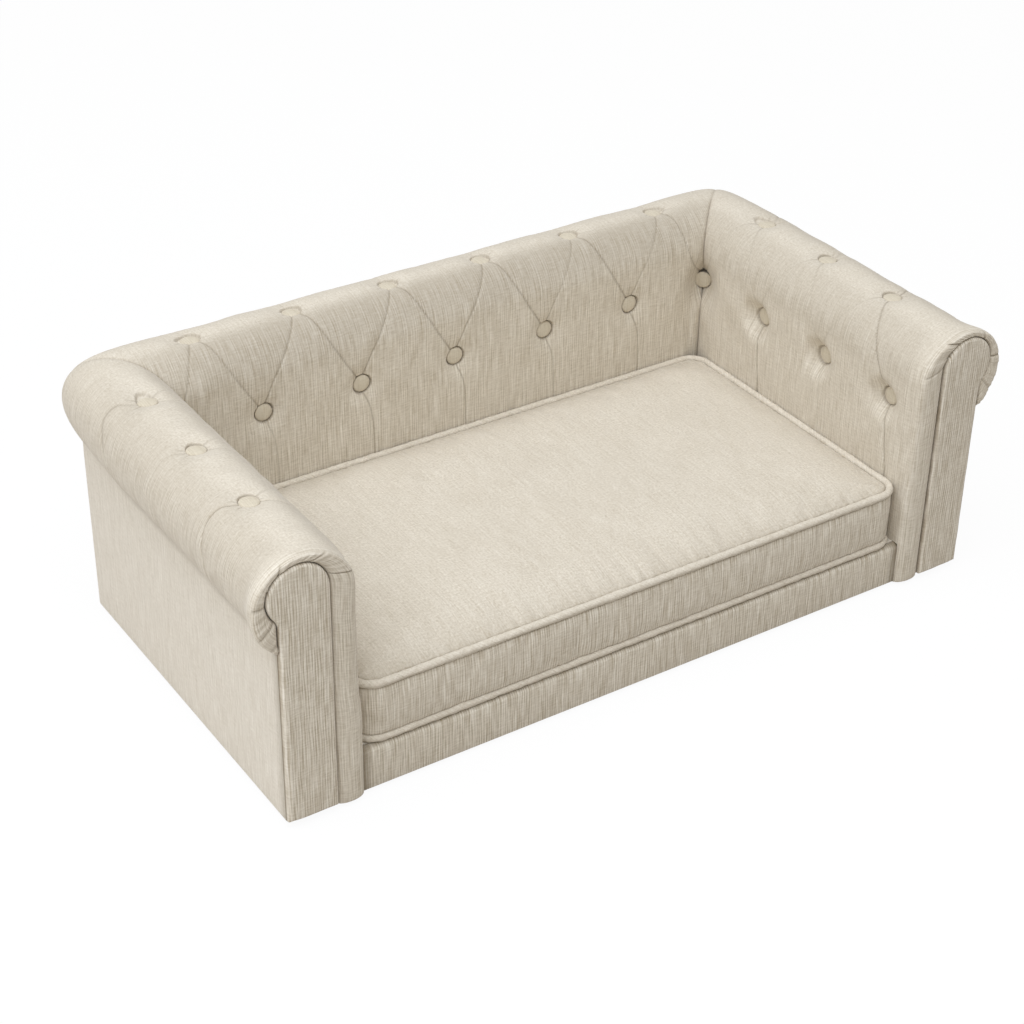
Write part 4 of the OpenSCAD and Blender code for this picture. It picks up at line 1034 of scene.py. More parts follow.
def addFacing(name, node, hand):
    f = facing
    rows = facingRows()
    points, cloth = [], []
    for z in rows:
        left, right = facingEdges(z)
        width = right - left
        near = [d * min(1.0, 0.5 * width / (f["fine"][-1] + f["fineRoom"])) for d in f["fine"]]
        middle = list(np.linspace(near[-1], width - near[-1], f["columns"])[1:-1])
        for o in near + middle + [width - d for d in near[::-1]]:
            q = left + o
            inHead = f["headRadius"] - math.hypot(q - f["headOut"], z - f["headHigh"])
            inStem = min(q - f["inner"], right - q, z - f["low"]) if z <= f["headHigh"] else -1
            gap = max(inHead, inStem, 0.0)
            outside = float(smoothstep(q, *f["outside"]) * (1 - smoothstep(z, *f["outsideBelow"])))
            edge = f["edge"] + (f["stemEdge"] - f["edge"]) * outside
            drop = edge - math.sqrt(max(edge ** 2 - (edge - min(gap, edge)) ** 2, 0))
            puff = f["puff"] * (1 - math.exp(-gap / f["puffReach"]))
            points.append((-halfWidth - q, frontY - f["thick"] + drop - puff + f["set"], z))
            cloth.append((q, z))
    count = len(points)
    columns = count // len(rows)
    edge = gridEdge(len(rows), columns)
    size = len(edge)
    for depth, _ in f["walls"]:
        points += [(points[i][0], frontY - depth, points[i][2]) for i in edge]
        cloth += [cloth[i] for i in edge]
    front, back = (range(count + n * size, count + (n + 1) * size) for n in (0, 1))
    faces = gridFaces(len(rows), columns) + joined(edge, front) + joined(front, back) + [list(back)]
    points = np.array(points)
    deep, seed, wave = f["rough"]
    points[:count, 1] += deep * unevenness(points[:count, 0], points[:count, 2], seed + hand, wave)
    # Painted shade on the side walls and the hidden back, where the gap beside the panel lies in shade
    fold = np.concatenate([np.zeros(count)] + [np.full(size, dark) for _, dark in f["walls"]])
    piece = addPiece(name, mirrored(points, hand), faces, frontLinen, cloth=cloth, fold=fold, sharp=f["sharp"])
    standFor(node)


addFacing("leftFacing", "left_facing", -1)
addFacing("rightFacing", "right_facing", 1)


# Flat padded slabs: a grid over a rectangle, with its four edges rounded over
slab = {
    "step": 12.0, "rough": 0.25, "roughSize": 75, "roughFrom": (4, 30), "puffReach": 18, "least": 0.2,
    "liftFrom": (16, 2), "dark": 2.4, "darkReach": 9, "backDark": 0.6, "turns": 6, "sharp": 55, "fill": 0.9,
}


def slabOffsets(length, first, second, step):
    turn = np.linspace(0, np.pi / 2, slab["turns"])[:-1]
    low, high = first * (1 - np.cos(turn)), second * (1 - np.cos(turn))
    count = max(2, int((length - first - second) / step))
    return np.concatenate([low, np.linspace(first, length - second, count + 1), length - high[::-1]])


def edgeDrop(gap, radius):
    near = np.clip(gap, 0, radius)
    return radius - np.sqrt(np.maximum(radius ** 2 - (radius - near) ** 2, 0))


def addSlab(name, node, place, across, upward, out, size, thick, edges, material,
            puff=0.8, seed=1, dark=(0, 0, 0), lift=None):
    # edges: rounding at the start and end across, and at the bottom and top; dark: painted shade along the start, end
    # and top edges;
    # lift: how much higher the top stands at each place across
    place, across, upward, out = (np.array(v, float) for v in (place, across, upward, out))
    u = slabOffsets(size[0], edges[0], edges[1], slab["step"])
    v = slabOffsets(size[1], edges[2], edges[3], slab["step"])
    gridU, gridV = np.meshgrid(u, v, indexing="ij")
    if lift is not None:
        first, last = (size[1] - gap for gap in slab["liftFrom"])
        gridV = gridV + lift(u)[:, None] * smoothstep(gridV, first, last)
    drop = (edgeDrop(gridU, edges[0]) + edgeDrop(size[0] - gridU, edges[1])
            + edgeDrop(gridV, edges[2]) + edgeDrop(gridV[:, -1:] - gridV, edges[3]))
    inside = np.minimum(np.minimum(gridU, size[0] - gridU), np.minimum(gridV, size[1] - gridV))
    rough = slab["rough"] * unevenness(gridU, gridV, seed, slab["roughSize"])
    rise = (thick - drop - puff + puff * (1 - np.exp(-inside / slab["puffReach"]))
            + rough * smoothstep(inside, *slab["roughFrom"]))
    low = place + gridU[..., None] * across + gridV[..., None] * upward
    top = low + np.maximum(rise, slab["least"])[..., None] * out
    index = gridEdge(*gridU.shape)
    low, top = low.reshape(-1, 3), top.reshape(-1, 3)
    points = np.concatenate([top, low[index]])
    cloth = np.stack([gridU, gridV], -1).reshape(-1, 2)
    cloth = np.concatenate([cloth, cloth[index]]) + np.array([place @ across, place @ upward])
    gaps = (gridU, size[0] - gridU, size[1] - gridV)
    # Painted shade along the chosen edges, and on the slab's sides and hidden back
    fold = np.max([d * np.exp(-(np.minimum(gap, slab["darkReach"]) / slab["dark"]) ** 2)
                   for gap, d in zip(gaps, dark)], 0)
    fold = np.concatenate([fold.ravel(), np.full(len(index), slab["backDark"])])
    back = range(len(top), len(points))
    faces = gridFaces(*gridU.shape) + joined(index, back) + [list(back)]
    piece = addPiece(name, points, faces, material, cloth=cloth, fold=fold, sharp=slab["sharp"])
    standFor(node)


def underRoll(place, across, upward, high):
    # How far a panel can rise at each place before it meets the rolls that overhang it
    rolls = (leftArm, rightArm, backPadding)
    reached = np.concatenate([np.array([v.co for v in piece.data.vertices]) for piece in rolls]) / mm
    sideways = np.cross(across, upward)
    near = (np.abs((reached - place) @ sideways) < panels["reach"]) & (reached[:, 2] > panels["above"])
    along, level = ((reached - place) @ across)[near], reached[near, 2]

    def lift(u):
        made = []
        for at in u:
            close = np.abs(along - at) < panels["beside"]
            free = level[close].min() - high - panels["clear"] if close.any() else 0.0
            made.append(min(max(free, 0.0), panels["mostLift"]))
        return np.array(made)
    return lift


panels = {
    "mostLift": 22.0, "reach": 7, "above": 195, "thick": 6.0, "beside": 5, "clear": 0.5,
    "sideTop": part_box("left_side_panel")[1].z / mm, "backTop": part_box("back_panel")[1].z / mm,
    "sideEdges": (2.2, 5.0, 2.0, 1.5), "backEdges": (2.0, 2.0, 2.0, 1.5),
}
for hand, name in ((-1, "left"), (1, "right")):
    inner = hand * (armOut - panels["thick"])
    # Painted shade along each side panel's front edge and along its top under the roll
    addSlab(name + "SidePanel", name + "_side_panel", (inner, frontY, panelLow), (0, 1, 0), (0, 0, 1), (hand, 0, 0),
            (backOut - frontY, panels["sideTop"] - panelLow), panels["thick"], panels["sideEdges"],
            panelLinen, seed=31 + hand, dark=(0.8, 0, 0.7),
            lift=underRoll(
                (hand * (armOut - panels["thick"] / 2), frontY, 0), (0, 1, 0), (0, 0, 1), panels["sideTop"]))
backHalf = armOut - panels["thick"]
addSlab("backPanel", "back_panel", (-backHalf, backOut - panels["thick"], panelLow), (1, 0, 0), (0, 0, 1), (0, 1, 0),
        (2 * backHalf, panels["backTop"] - panelLow), panels["thick"], panels["backEdges"],
        panelLinen, seed=37,
        lift=underRoll((-backHalf, backOut - panels["thick"] / 2, 0), (1, 0, 0), (0, 0, 1), panels["backTop"]))
apron = {"half": halfWidth - 0.02, "thick": 9.0, "edges": (0.4, 0.4, 2.0, 6.5)}
# Painted shade along the apron's two ends and along its top under the cushion
addSlab("apron", "apron", (-apron["half"], frontY + apron["thick"], panelLow), (1, 0, 0), (0, 0, 1), (0, -1, 0),
        (2 * apron["half"], deckHigh - panelLow), apron["thick"], apron["edges"],
        frontLinen, puff=0.5, seed=41, dark=(0.8, 0.8, 0.5))
print("stage: facings, panels and apron made")


# Front strips: the padding's front edge carried down beside the apron
strip = {
    "fine": (0, 0.3, 1.0, 2.0, 3.2), "rowsFrom": 6, "rows": 8, "gap": 0.3, "turn": 3.0, "least": 0.3, "back": 0.9,
    "dark": 0.5, "darkLine": 2.2, "sharp": 60, "fill": 0.85,
}


def addStrip(name, node, hand):
    low, high = panelLow, padding["low"]
    z = np.concatenate([low + np.array(strip["fine"]), np.linspace(low + strip["rowsFrom"], high, strip["rows"])])
    reach = facing["inner"] - strip["gap"]
    forward = ring["depth"] + ring["bulge"]
    profile = [(0.0, 0.0)] + [(reach * value, forward * ringRaise(value, ring["round"])) for value in ringColumns()]
    rows = len(profile)
    points, cloth, fold = [], [], []
    length = np.concatenate([[0], np.cumsum([math.dist(a, b) for a, b in zip(profile, profile[1:])])])
    for height in z:
        lift = edgeDrop(np.array(height - low), strip["turn"])
        for (o, push), run in zip(profile, length):
            forwardNow = max(push - float(lift), 0.0 if o < 1 else strip["least"])
            points.append((-halfWidth - o, frontY + ring["depth"] - forwardNow, height))
            cloth.append((-(frontY + ring["depth"]) + run, height - padding["row"]))
            # Painted shade along the edge that meets the facing
            fold.append(strip["dark"] * math.exp(-((reach - o) / strip["darkLine"]) ** 2))
    back = len(points)
    for height in z:
        for x in (-halfWidth - reach, -halfWidth):
            points.append((x, frontY + ring["depth"] + strip["back"], height))
            cloth.append((0, height))
            fold.append(0.0)
    faces = gridFaces(len(z), rows)
    for r in range(len(z) - 1):
        a, b = back + 2 * r, back + 2 * r + 2
        faces += [[a, b, b + 1, a + 1], [a + 1, b + 1, (r + 1) * rows, r * rows],
                  [r * rows + rows - 1, (r + 1) * rows + rows - 1, b, a]]
    for r in (0, len(z) - 1):
        faces.append([r * rows + k for k in range(rows)] + [back + 2 * r, back + 2 * r + 1])
    piece = addPiece(
        name, mirrored(np.array(points), hand), faces, tuftedLinen, cloth=cloth, fold=fold, sharp=strip["sharp"])
    standFor(node)


addStrip("leftFrontStrip", "left_front_strip", -1)
addStrip("rightFrontStrip", "right_front_strip", 1)


# Seat cushion: a piped box cushion with a crowned top and a zip in the rear border
topBox, lowPipe, topPipe = (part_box(node) for node in ("cushion_top", "low_piping", "top_piping"))
cushion = {
    "halfWide": topPipe[1].x / mm, "front": topPipe[0].y / mm, "rear": topPipe[1].y / mm,
    "corner": 28.0, "leastTurn": 12, "pipe": 4.5, "lowPipe": (lowPipe[0].z + lowPipe[1].z) / 2 / mm,
    "topPipe": (topPipe[0].z + topPipe[1].z) / 2 / mm, "crown": topBox[1].z / mm,
    "step": 2.2, "borderIn": 2.4, "borderDeep": 9.0, "borderBulge": 1.1,
    "zipHalf": 280.0, "zipLow": 83.05, "zipHigh": 109.05, "seamLine": 1.7,
    "panelIn": 8.4, "panelRise": 0.6, "shoulder": 8.4, "shoulderReach": 17.0, "shoulderPower": 1.1, "dome": (4, 3),
}
cushion["halfDeep"] = (cushion["rear"] - cushion["front"]) / 2
cushion["middle"] = (cushion["rear"] + cushion["front"]) / 2


def cushionLoop(step):
    # Anchors on the inner rectangle, outward directions and the distance around, from the right rear corner on
    r, x, y = cushion["corner"], cushion["halfWide"] - cushion["corner"], cushion["halfDeep"] - cushion["corner"]
    anchors, ways = [], []
    turn = max(cushion["leastTurn"], int(r * np.pi / 2 / step))
    corners = [(1, 1), (-1, 1), (-1, -1), (1, -1)]
    zipX = cushion["zipHalf"]
    for side, (sx, sy) in enumerate(corners):
        for a in np.arange(turn) / turn:
            angle = math.radians(90 * side + 90 * a)
            anchors.append((sx * x, sy * y))
            ways.append((math.cos(angle), math.sin(angle)))
        nextX, nextY = corners[(side + 1) % 4]
        end = math.radians(90 * side + 90)
        count = int(2 * (x if sx != nextX else y) / step)
        shares = np.arange(count) / count
        if side == 0:  # the rear side keeps two points at the ends of the zip
            shares = np.array(sorted(shares.tolist() + [(x - zipX) / (2 * x), (x + zipX) / (2 * x)]))
        for s in shares:
            anchors.append((sx * x + (nextX - sx) * x * s, sy * y + (nextY - sy) * y * s))
            ways.append((math.cos(end), math.sin(end)))
    anchors, ways = np.array(anchors), np.array(ways)
    outer = anchors + ways * r
    around = np.concatenate([[0], np.cumsum(np.linalg.norm(np.diff(outer, axis=0), axis=1))])
    return anchors, ways, around


anchors, ways, around = cushionLoop(cushion["step"])
loopCount = len(around)


def loopPoints(margin, height, scale=1.0):
    margin = np.broadcast_to(margin, (loopCount,))
    flat = anchors * scale + ways * (cushion["corner"] - margin)[:, None]
    return np.stack([flat[:, 0], flat[:, 1] + cushion["middle"], np.broadcast_to(height, (loopCount,))], -1)


def crownHeight(flat, inward):
    # The sewn form before the cloth is blown up: a quick rise at the seam and a low dome
    start, rise = cushion["panelIn"], cushion["shoulder"]
    base = cushion["topPipe"] + cushion["panelRise"]
    acrossPower, deepPower = cushion["dome"]
    x = flat[:, 0] / (cushion["halfWide"] - start)
    y = (flat[:, 1] - cushion["middle"]) / (cushion["halfDeep"] - start)
    crown = np.maximum(1 - np.abs(x) ** acrossPower, 0) * np.maximum(1 - np.abs(y) ** deepPower, 0)
    steep = rise * (1 - math.exp(-(max(inward, 0) / cushion["shoulderReach"]) ** cushion["shoulderPower"]))
    return base + steep + (cushion["crown"] - base - rise - cushion["panelRise"]) * crown


# The cushion's cover as cloth, blown up between its two pipings: the seams get their pull and the faces their swell
cover = {
    "voxel": 0.0075, "frames": 20, "pressure": 4.0, "shrink": -0.012, "quality": 5, "mass": 0.2, "stiff": 15.0,
    "bending": 0.4, "top": 4.0, "front": 1.6, "sides": 0.8,  # how far the finer meshes follow it
    "floor": 57.5, "floorRows": ((18.0, 57.5), (9.0, 57.8)), "seamIn": 3.5, "wallFrom": 5, "wallRows": 5,
    "topRows": (8.4, 11.0, 15.0, 20.0), "inmost": 0.04, "loops": (16, 24), "held": (9, 5), "near": 5,
}


def coverRows():
    low, high, corner = cushion["lowPipe"], cushion["topPipe"], cushion["corner"]
    under, over = (np.linspace(cover["inmost"], 1, count) for count in cover["loops"])
    wall = np.linspace(low + cover["wallFrom"], high - cover["wallFrom"], cover["wallRows"])
    rows = [(corner, s, cover["floor"]) for s in under] + [(m, 1, z) for m, z in cover["floorRows"]]
    rows += [(cover["seamIn"], 1, low)] + [(cushion["borderIn"] - cushion["borderBulge"], 1, z) for z in wall]
    rows += [(cover["seamIn"], 1, high)] + [(m, 1, None) for m in cover["topRows"]]
    rows += [(corner, s, None) for s in over[::-1]]
    loops = []
    for margin, shrink, z in rows:
        flat = loopPoints(margin, 0 if z is None else z, shrink)
        if z is None:
            inward = margin - cushion["panelIn"] + (1 - shrink) * (cushion["halfDeep"] - cushion["corner"])
            flat[:, 2] = crownHeight(flat, inward)
        loops.append(flat)
    return np.array(loops)


def blowCover():
    loops = coverRows()
    count = len(loops)
    points = loops.reshape(-1, 3) * mm
    faces = gridFaces(count, loopCount, closedColumns=True)
    faces += [list(range(loopCount))[::-1], [(count - 1) * loopCount + k for k in range(loopCount)]]
    mesh = bpy.data.meshes.new("coverTest")
    mesh.from_pydata(points.tolist(), [], faces)
    test = bpy.data.objects.new("coverTest", mesh)
    bpy.context.scene.collection.objects.link(test)
    remesh = test.modifiers.new("remesh", "REMESH")
    remesh.mode = "VOXEL"
    remesh.voxel_size = cover["voxel"]
    graph = bpy.context.evaluated_depsgraph_get()
    even = bpy.data.meshes.new_from_object(test.evaluated_get(graph))
    test.modifiers.clear()
    test.data = even
    rest = np.empty(len(even.vertices) * 3)
    even.vertices.foreach_get("co", rest)
    rest = rest.reshape(-1, 3)
    local = rest / mm
    flat = np.array([cushion["halfWide"], cushion["halfDeep"]]) - cushion["corner"]
    over = np.maximum(np.abs(local[:, :2] - [0, cushion["middle"]]) - flat, 0)
    margin = cushion["corner"] - np.hypot(over[:, 0], over[:, 1])
    seam = np.minimum(np.abs(local[:, 2] - cushion["lowPipe"]), np.abs(local[:, 2] - cushion["topPipe"]))
    heldIn, heldHigh = cover["held"]
    held = np.nonzero((margin < heldIn) & (seam < heldHigh))[0]
    group = test.vertex_groups.new(name="held")
    group.add(held.tolist(), 1.0, "REPLACE")
    modifier = test.modifiers.new("cloth", "CLOTH")
    settings = modifier.settings
    settings.quality = cover["quality"]
    settings.mass = cover["mass"]
    settings.tension_stiffness = settings.compression_stiffness = cover["stiff"]
    settings.shear_stiffness = cover["stiff"] / 2
    settings.bending_stiffness = cover["bending"]
    settings.shrink_min = cover["shrink"]
    settings.use_pressure = True
    settings.uniform_pressure_force = cover["pressure"]
    settings.vertex_group_mass = "held"
    settings.effector_weights.gravity = 0
    modifier.collision_settings.use_collision = False
    modifier.point_cache.frame_start = 1
    modifier.point_cache.frame_end = cover["frames"]
    for frameNumber in range(1, cover["frames"] + 1):
        bpy.context.scene.frame_set(frameNumber)
    graph = bpy.context.evaluated_depsgraph_get()
    blown = test.evaluated_get(graph).to_mesh()
    moved = np.empty(len(rest) * 3)
    blown.vertices.foreach_get("co", moved)
    moves = (moved.reshape(-1, 3) - rest) / mm
    bpy.data.objects.remove(test)
    bpy.context.scene.frame_set(1)
    tree = KDTree(len(rest))
    for i, point in enumerate(rest):
        tree.insert(point, i)
    tree.balance()
    print("stage: cover blown up,", len(rest), "points, moves", moves.min(0).round(2), moves.max(0).round(2))
    return tree, moves


blown = blowCover()


def coverMoves(points):
    if blown is None:
        return np.zeros((len(points), 3))
    tree, moves = blown
    made = []
    for point in points * mm:
        near = tree.find_n(point, cover["near"])
        weights = np.array([1 / (gap + mm) ** 2 for _, _, gap in near])
        made.append(weights @ moves[[i for _, i, _ in near]] / weights.sum())
    return np.array(made)


def shrinkingLoops(margins, shares):  # the margin and the scale of each loop, from the seam to the middle
    corner = cushion["corner"]
    return [(m, 1.0) for m in (*margins, corner)] + [(corner, 1 - share) for share in shares]


def addPanel(name, node, rings, rim, sharp, fold=None):
    # Loops that shrink to a middle point, closed by a flat face over the rim on the hidden side
    points = np.concatenate(rings)
    tip = len(points)
    points = np.concatenate([points, [rings[-1].mean(0)], rim])
    last, first, back = (range(n, n + loopCount) for n in (tip - loopCount, 0, tip + 1))
    faces = gridFaces(len(rings), loopCount, closedColumns=True)
    faces += [[last[k], last[(k + 1) % loopCount], tip] for k in range(loopCount)]
    faces += joined(first, back) + [list(back)]
    if fold is not None:
        fold = np.concatenate([np.repeat(fold, loopCount), np.zeros(len(points) - tip)])
    piece = addPiece(name, points, faces, cushionLinen, "cushion", cloth=points[:, :2], fold=fold, sharp=sharp)
    standFor(node)


topPanel = {
    "rows": (0, 0.5, 1.1, 1.9, 2.9, 4.1, 5.6, 7.4, 9.6, 12.2, 15.2),  # in from the seam
    "loops": 40, "inmost": 0.93, "rimIn": 0.6, "rimHigh": 0.2, "swellFrom": (0.3, 7),
    "gather": 0.5, "gatherReach": 10.0, "gatherFrom": (0.3, 2.5), "gatherSlope": 0.6,
    "waves": ((1.0, 71, 6.5), (0.6, 72, 13)), "lumps": ((0.6, 77, 130), (0.2, 78, 45)), "lumpsFrom": (2, 20),
    "seamShade": 0.55, "rimShade": 0.22, "rimReach": 10, "farShade": 0.06, "farReach": 30,
}


def addCushionTop():
    t, start = topPanel, cushion["panelIn"]
    rings, folds = [], []
    for m, s in shrinkingLoops([start + d for d in t["rows"]], np.linspace(0, t["inmost"], t["loops"])[1:]):
        inward = m - start + (1 - s) * (cushion["halfDeep"] - cushion["corner"])
        flat = loopPoints(m, 0, s)
        flat[:, 2] = crownHeight(flat, inward)
        swell = cover["top"] * np.tanh(coverMoves(flat)[:, 2] / cover["top"]) * smoothstep(inward, *t["swellFrom"])
        ripple = t["gather"] * math.exp(-inward / t["gatherReach"]) * smoothstep(inward, *t["gatherFrom"])
        slopes = (inward * t["gatherSlope"], 0)
        wave = ripple * sum(deep * unevenness(around, around * 0 + slope, seed, size)
                            for (deep, seed, size), slope in zip(t["waves"], slopes))
        lumps = sum(deep * unevenness(flat[:, 0], flat[:, 1], seed, size) for deep, seed, size in t["lumps"])
        flat[:, 2] += swell + wave + lumps * smoothstep(inward, *t["lumpsFrom"])
        rings.append(flat)
        # Painted shade: a line at the seam, a band along the rim and a wide fade inward
        folds.append(t["seamShade"] * math.exp(-(inward / cushion["seamLine"]) ** 2)
                     + t["rimShade"] * math.exp(-inward / t["rimReach"])
                     + t["farShade"] * math.exp(-inward / t["farReach"]))
    rim = loopPoints(start + t["rimIn"], cushion["topPipe"] + t["rimHigh"])
    addPanel("cushionTop", "cushion_top", rings, rim, sharp=60, fold=folds)


border = {
    "inset": 3.4, "fine": (0, 0.8, 2, 3.5), "rows": 11, "rowsIn": 5.5, "turn": 2.2, "turnReach": 1.6,
    "gather": (0.3, 9, 0.5, 81, 8),  # depth, reach, slant, seed and size
    "swell": (0.22, 0.4, 82, 60), "calm": 0.5, "pulledFrom": (0.5, 7), "mostIn": 0.5, "dark": 0.85,
    "slack": 0.01, "zipWay": 0.99, "frontWay": -0.5, "rearWay": 0.9,  # ways: how far to the rear the cloth faces
    "sharp": 50, "fill": 0.8,
}


def borderHeights(low, high):
    heights = {low + d for d in border["fine"]} | {high - d for d in border["fine"]}
    heights |= set(np.linspace(low + border["rowsIn"], high - border["rowsIn"], border["rows"]).round(3).tolist())
    return np.array(sorted(heights | {cushion["zipLow"], cushion["zipHigh"]}))


def borderFaces(heights, offset):
    # Two skins, the inner one offset points on, joined at the edges and around the opening for the zip
    slack, half = border["slack"], cushion["zipHalf"]
    columnIn = (ways[:, 1] > border["zipWay"]) & (anchors[:, 0] <= half + slack) & (anchors[:, 0] > slack - half)
    rowIn = (heights >= cushion["zipLow"] - slack) & (heights < cushion["zipHigh"] - slack)

    def wall(first, second):
        return [first, second, offset + second, offset + first]

    faces = []
    for r in range(len(heights) - 1):
        for c in range(loopCount):
            n = (c + 1) % loopCount
            if rowIn[r] and columnIn[c]:
                continue
            here, beside, above, across = (row * loopCount + column for row in (r, r + 1) for column in (c, n))
            faces += [[here, beside, across, above], [offset + i for i in (above, across, beside, here)]]
            if rowIn[r + 1] and columnIn[c]:
                faces.append(wall(above, across))
            if rowIn[r - 1] and columnIn[c]:
                faces.append(wall(here, beside))
            if rowIn[r] and columnIn[n]:
                faces.append(wall(beside, across))
            if rowIn[r] and columnIn[c - 1]:
                faces.append(wall(here, above))
    for first in (0, offset - loopCount):
        faces += joined(range(first, first + loopCount), range(offset + first, offset + first + loopCount))
    return faces


def addCushionBorder():
    b = border
    low, high = cushion["lowPipe"] + b["inset"], cushion["topPipe"] - b["inset"]
    heights = borderHeights(low, high)
    share = (heights - low) / (high - low)
    margins = (cushion["borderIn"] - cushion["borderBulge"] * np.sin(np.pi * share)
               + b["turn"] * np.exp(-(heights - low) / b["turnReach"])
               + b["turn"] * np.exp(-(high - heights) / b["turnReach"]))
    edges = np.minimum(heights - low, high - heights)
    outer, inner = [], []
    for z, m, edge in zip(heights, margins, edges):
        deep, reach, slant, seed, size = b["gather"]
        wave = deep * math.exp(-edge / reach) * unevenness(around, around * 0 + z * slant, seed, size)
        wave = wave * (edge > b["calm"])
        deep, slant, seed, size = b["swell"]
        wave = wave + deep * unevenness(around, around * 0 + z * slant, seed, size)
        pulled = (coverMoves(loopPoints(m, z))[:, :2] * ways).sum(1) * smoothstep(edge, *b["pulledFrom"])
        most = np.where(ways[:, 1] < b["frontWay"], cover["front"], cover["sides"]) * (ways[:, 1] < b["rearWay"])
        outer.append(loopPoints(m + wave - np.clip(pulled, -b["mostIn"], most), z))
        inner.append(loopPoints(cushion["borderDeep"], z))
    points = np.concatenate(outer + inner)
    offset = len(heights) * loopCount
    cloth = np.stack([np.tile(around, 2 * len(heights)), points[:, 2]], -1)
    # Painted shade along the border's edges at the pipings
    fold = np.repeat(b["dark"] * np.exp(-(edges / cushion["seamLine"]) ** 2), loopCount)
    fold = np.concatenate([fold, np.zeros(offset)])
    piece = addPiece("cushionBorder", points, borderFaces(heights, offset), borderLinen, "cushion",
                     cloth=cloth, fold=fold, sharp=b["sharp"])
    standFor("cushion_border")


piping = {
    "turns": 16, "slack": 0.12, "bumps": (0.16, 6, 9), "swell": (0.1, 60), "most": 0.25,
    "bias": 0.7,  # the covering strip is cut on the bias
}


def addPiping(name, node, height, seed):
    turns, pipe = piping["turns"], cushion["pipe"]
    angle = np.arange(turns) * 2 * np.pi / turns
    radius = pipe - piping["slack"]
    rings = []
    for a in angle:
        deep, slant, size = piping["bumps"]
        bulge = radius + deep * unevenness(around, around * 0 + a * slant, seed, size)
        deep, size = piping["swell"]
        bulge = np.minimum(bulge + deep * unevenness(around, around * 0, seed + 1, size), pipe + piping["most"])
        rings.append(loopPoints(pipe - bulge * math.cos(a), height + bulge * math.sin(a)))
    points = np.stack(rings, 1).reshape(-1, 3)
    faces = gridFaces(loopCount, turns, closedRows=True, closedColumns=True)
    run, turn = np.repeat(around, turns) * piping["bias"], np.tile(angle * radius, loopCount) * piping["bias"]
    cloth = np.stack([run + turn, turn - run], -1)
    piece = addPiece(name, points, faces, pipingLinen, "cushion", cloth=cloth)
    standFor(node)


basePanel = {
    "margins": (9.5, 11.0, 14.0, 20.0), "loops": 26, "high": 57.55, "lumps": (0.18, 91, 70),
    "lip": 0.8, "lipReach": 1.5, "rimHigh": 58.5,
}


def addCushionBase():
    b, edge = basePanel, basePanel["margins"][0]
    deep, seed, size = b["lumps"]
    rings = []
    for m, s in shrinkingLoops(b["margins"], np.linspace(0, 1, b["loops"])[1:-1]):
        flat = loopPoints(m, 0, s)
        lip = b["lip"] * math.exp(-(m - edge) / b["lipReach"]) * (m < cushion["corner"])
        flat[:, 2] = b["high"] + deep * unevenness(flat[:, 0], flat[:, 1], seed, size) + lip
        rings.append(flat)
    addPanel("cushionBase", "cushion_base", rings, loopPoints(edge, b["rimHigh"]), sharp=40)


addCushionTop()
addCushionBorder()
addPiping("topPiping", "top_piping", cushion["topPipe"], seed=51)
addPiping("lowPiping", "low_piping", cushion["lowPipe"], seed=56)
addCushionBase()


# Zip: a woven tape, turned up to the border at its edges, and the two rows of coil teeth that lock into each other
zipper = {
    "pitch": 1.6, "tooth": 0.36, "coilHigh": 1.6, "tape": 1.0, "ease": 0.2, "rim": 0.3, "bays": 140, "seed": 97,
    "under": 0.05, "rough": (0.12, 30), "teethHalf": 2.3, "sharp": 50,
    "across": (-9, -5, -2.2, 0, 2.2, 5, 9),
    "arch": ((-2.0, 0.5), (-1.75, 1.15), (-1.2, 1.5), (-0.4, 1.58), (0.2, 1.45), (0.55, 0.85)),
    "ring": ((-1, -0.2), (-1, 0.35), (-0.6, 1), (0.6, 1), (1, 0.35), (1, -0.2)),
}


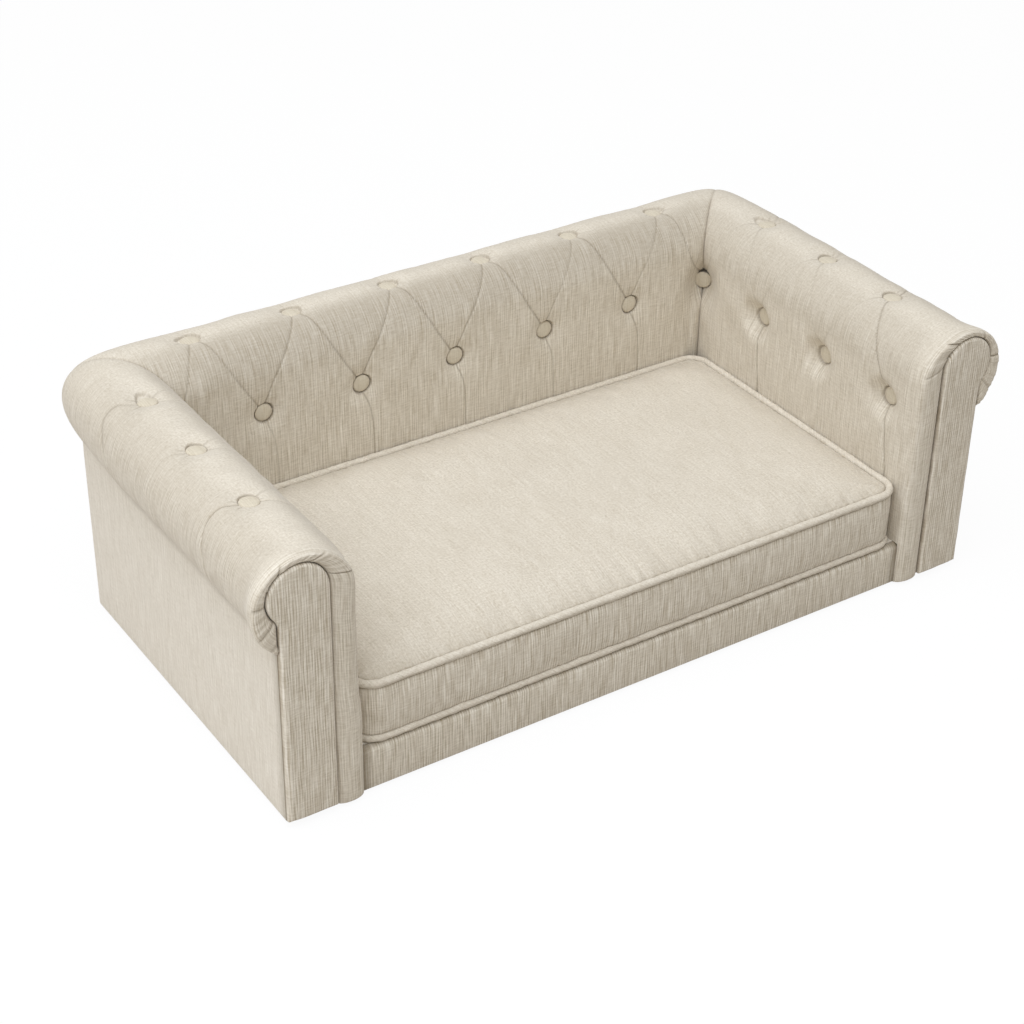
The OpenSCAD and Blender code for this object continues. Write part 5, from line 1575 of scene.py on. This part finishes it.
def addZip():
    low, high = (np.array(corner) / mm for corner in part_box("zip_tape"))
    face = high[1] - zipper["coilHigh"]
    middle, half = (low[2] + high[2]) / 2, (high[2] - low[2]) / 2 + zipper["ease"]
    end, rim = (high[0] - low[0]) / 2 + zipper["ease"], zipper["rim"]
    x = np.linspace(2 * rim - end, end - 2 * rim, zipper["bays"])
    x = np.concatenate([[-end, rim - end], x, [end - rim, end]]) + (low[0] + high[0]) / 2
    across = np.array([-half, rim - half, 2 * rim - half, *zipper["across"], half - 2 * rim, half - rim, half])
    gridX, gridZ = np.meshgrid(x, across, indexing="ij")
    deep, size = zipper["rough"]
    rough = deep * np.abs(unevenness(gridX, gridZ, zipper["seed"], size))
    flat = face - zipper["under"] - rough * (np.abs(gridZ) > zipper["teethHalf"])
    atEdge = np.zeros(gridX.shape, bool)
    atEdge[:2], atEdge[-2:], atEdge[:, :2], atEdge[:, -2:] = True, True, True, True
    front = np.where(atEdge, cushion["rear"] - cushion["borderDeep"] - zipper["under"], flat)
    back = np.full(gridX.shape, face - zipper["tape"])
    skins = [np.stack([gridX, y, gridZ + middle], -1) for y in (front, back[:, ::-1])]
    skins[1][:, :, 2] = skins[1][:, ::-1, 2]
    tape = np.concatenate(skins, 1)
    rows, size = tape.shape[:2]
    faces = gridFaces(rows, size, closedColumns=True)
    faces += [list(range(size))[::-1], list(range((rows - 1) * size, rows * size))]
    tapeFaces = len(faces)
    points = [tape.reshape(-1, 3)]
    tooth = np.array([(side * zipper["tooth"], share * height, z)
                      for z, height in zipper["arch"] for side, share in zipper["ring"]])
    first, ends = rows * size, len(zipper["ring"])
    toothFaces = np.array(gridFaces(len(zipper["arch"]), ends, closedColumns=True))
    for k, place in enumerate(np.arange(low[0] + 1, high[0] - 1, zipper["pitch"] / 2)):
        hand = 1 if k % 2 else -1
        points.append(tooth * (1, 1, hand) + (place, face, middle))
        last = first + len(tooth)
        faces += (toothFaces + first).tolist() + [list(range(first, first + ends)), list(range(last - ends, last))]
        first = last
    piece = addPiece("zipTape", np.concatenate(points), faces, zipCloth, "cushion", sharp=zipper["sharp"])
    piece.data.materials.append(zipNylon)
    kinds = np.ones(len(faces), int)
    kinds[:tapeFaces] = 0
    piece.data.polygons.foreach_set("material_index", kinds)
    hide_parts("zip_tape")


addZip()
print("stage: cushion made")

# Deck lining and dust cover: cloths stretched flat over the frame
stretched = {"thick": 0.9, "across": 61, "deep": 35}


def addStretched(name, node, material):
    low, high = (np.array(corner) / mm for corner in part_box(node))
    x, y = (np.linspace(low[i], high[i], stretched[key]) for i, key in enumerate(("across", "deep")))
    shape = (len(x), len(y))
    top = np.stack([*np.meshgrid(x, y, indexing="ij"), np.full(shape, high[2])], -1).reshape(-1, 3)
    points = np.concatenate([top, top - [0, 0, stretched["thick"]]])
    edge = gridEdge(*shape)
    faces = gridFaces(*shape) + gridFaces(*shape, first=len(top)) + joined(edge, [len(top) + i for i in edge])
    piece = addPiece(name, points, faces, material, cloth=points[:, :2])
    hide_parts(node)


addStretched("deckLining", "deck_lining", panelLinen)
addStretched("dustCover", "dust_cover", blackCloth)
print("stage: lining and dust cover made")

# Carried-over nodes get their materials by the words in their names, where a later line wins
finishes = [
    (pineWood, ("rail", "blocks", "post", "stiles")), (plyWood, ("deck", "board")), (foamFill, ("core",)),
    (blackCloth, ("lining", "dust")), (darkNylon, ("glides",)), (zincSteel, ("bolts", "slider", "tab")),
]
for name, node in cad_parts.items():
    for material, keys in finishes:
        if any(key in name for key in keys):
            node.data.materials.clear()
            node.data.materials.append(material)
print("stage: carried-over parts finished")
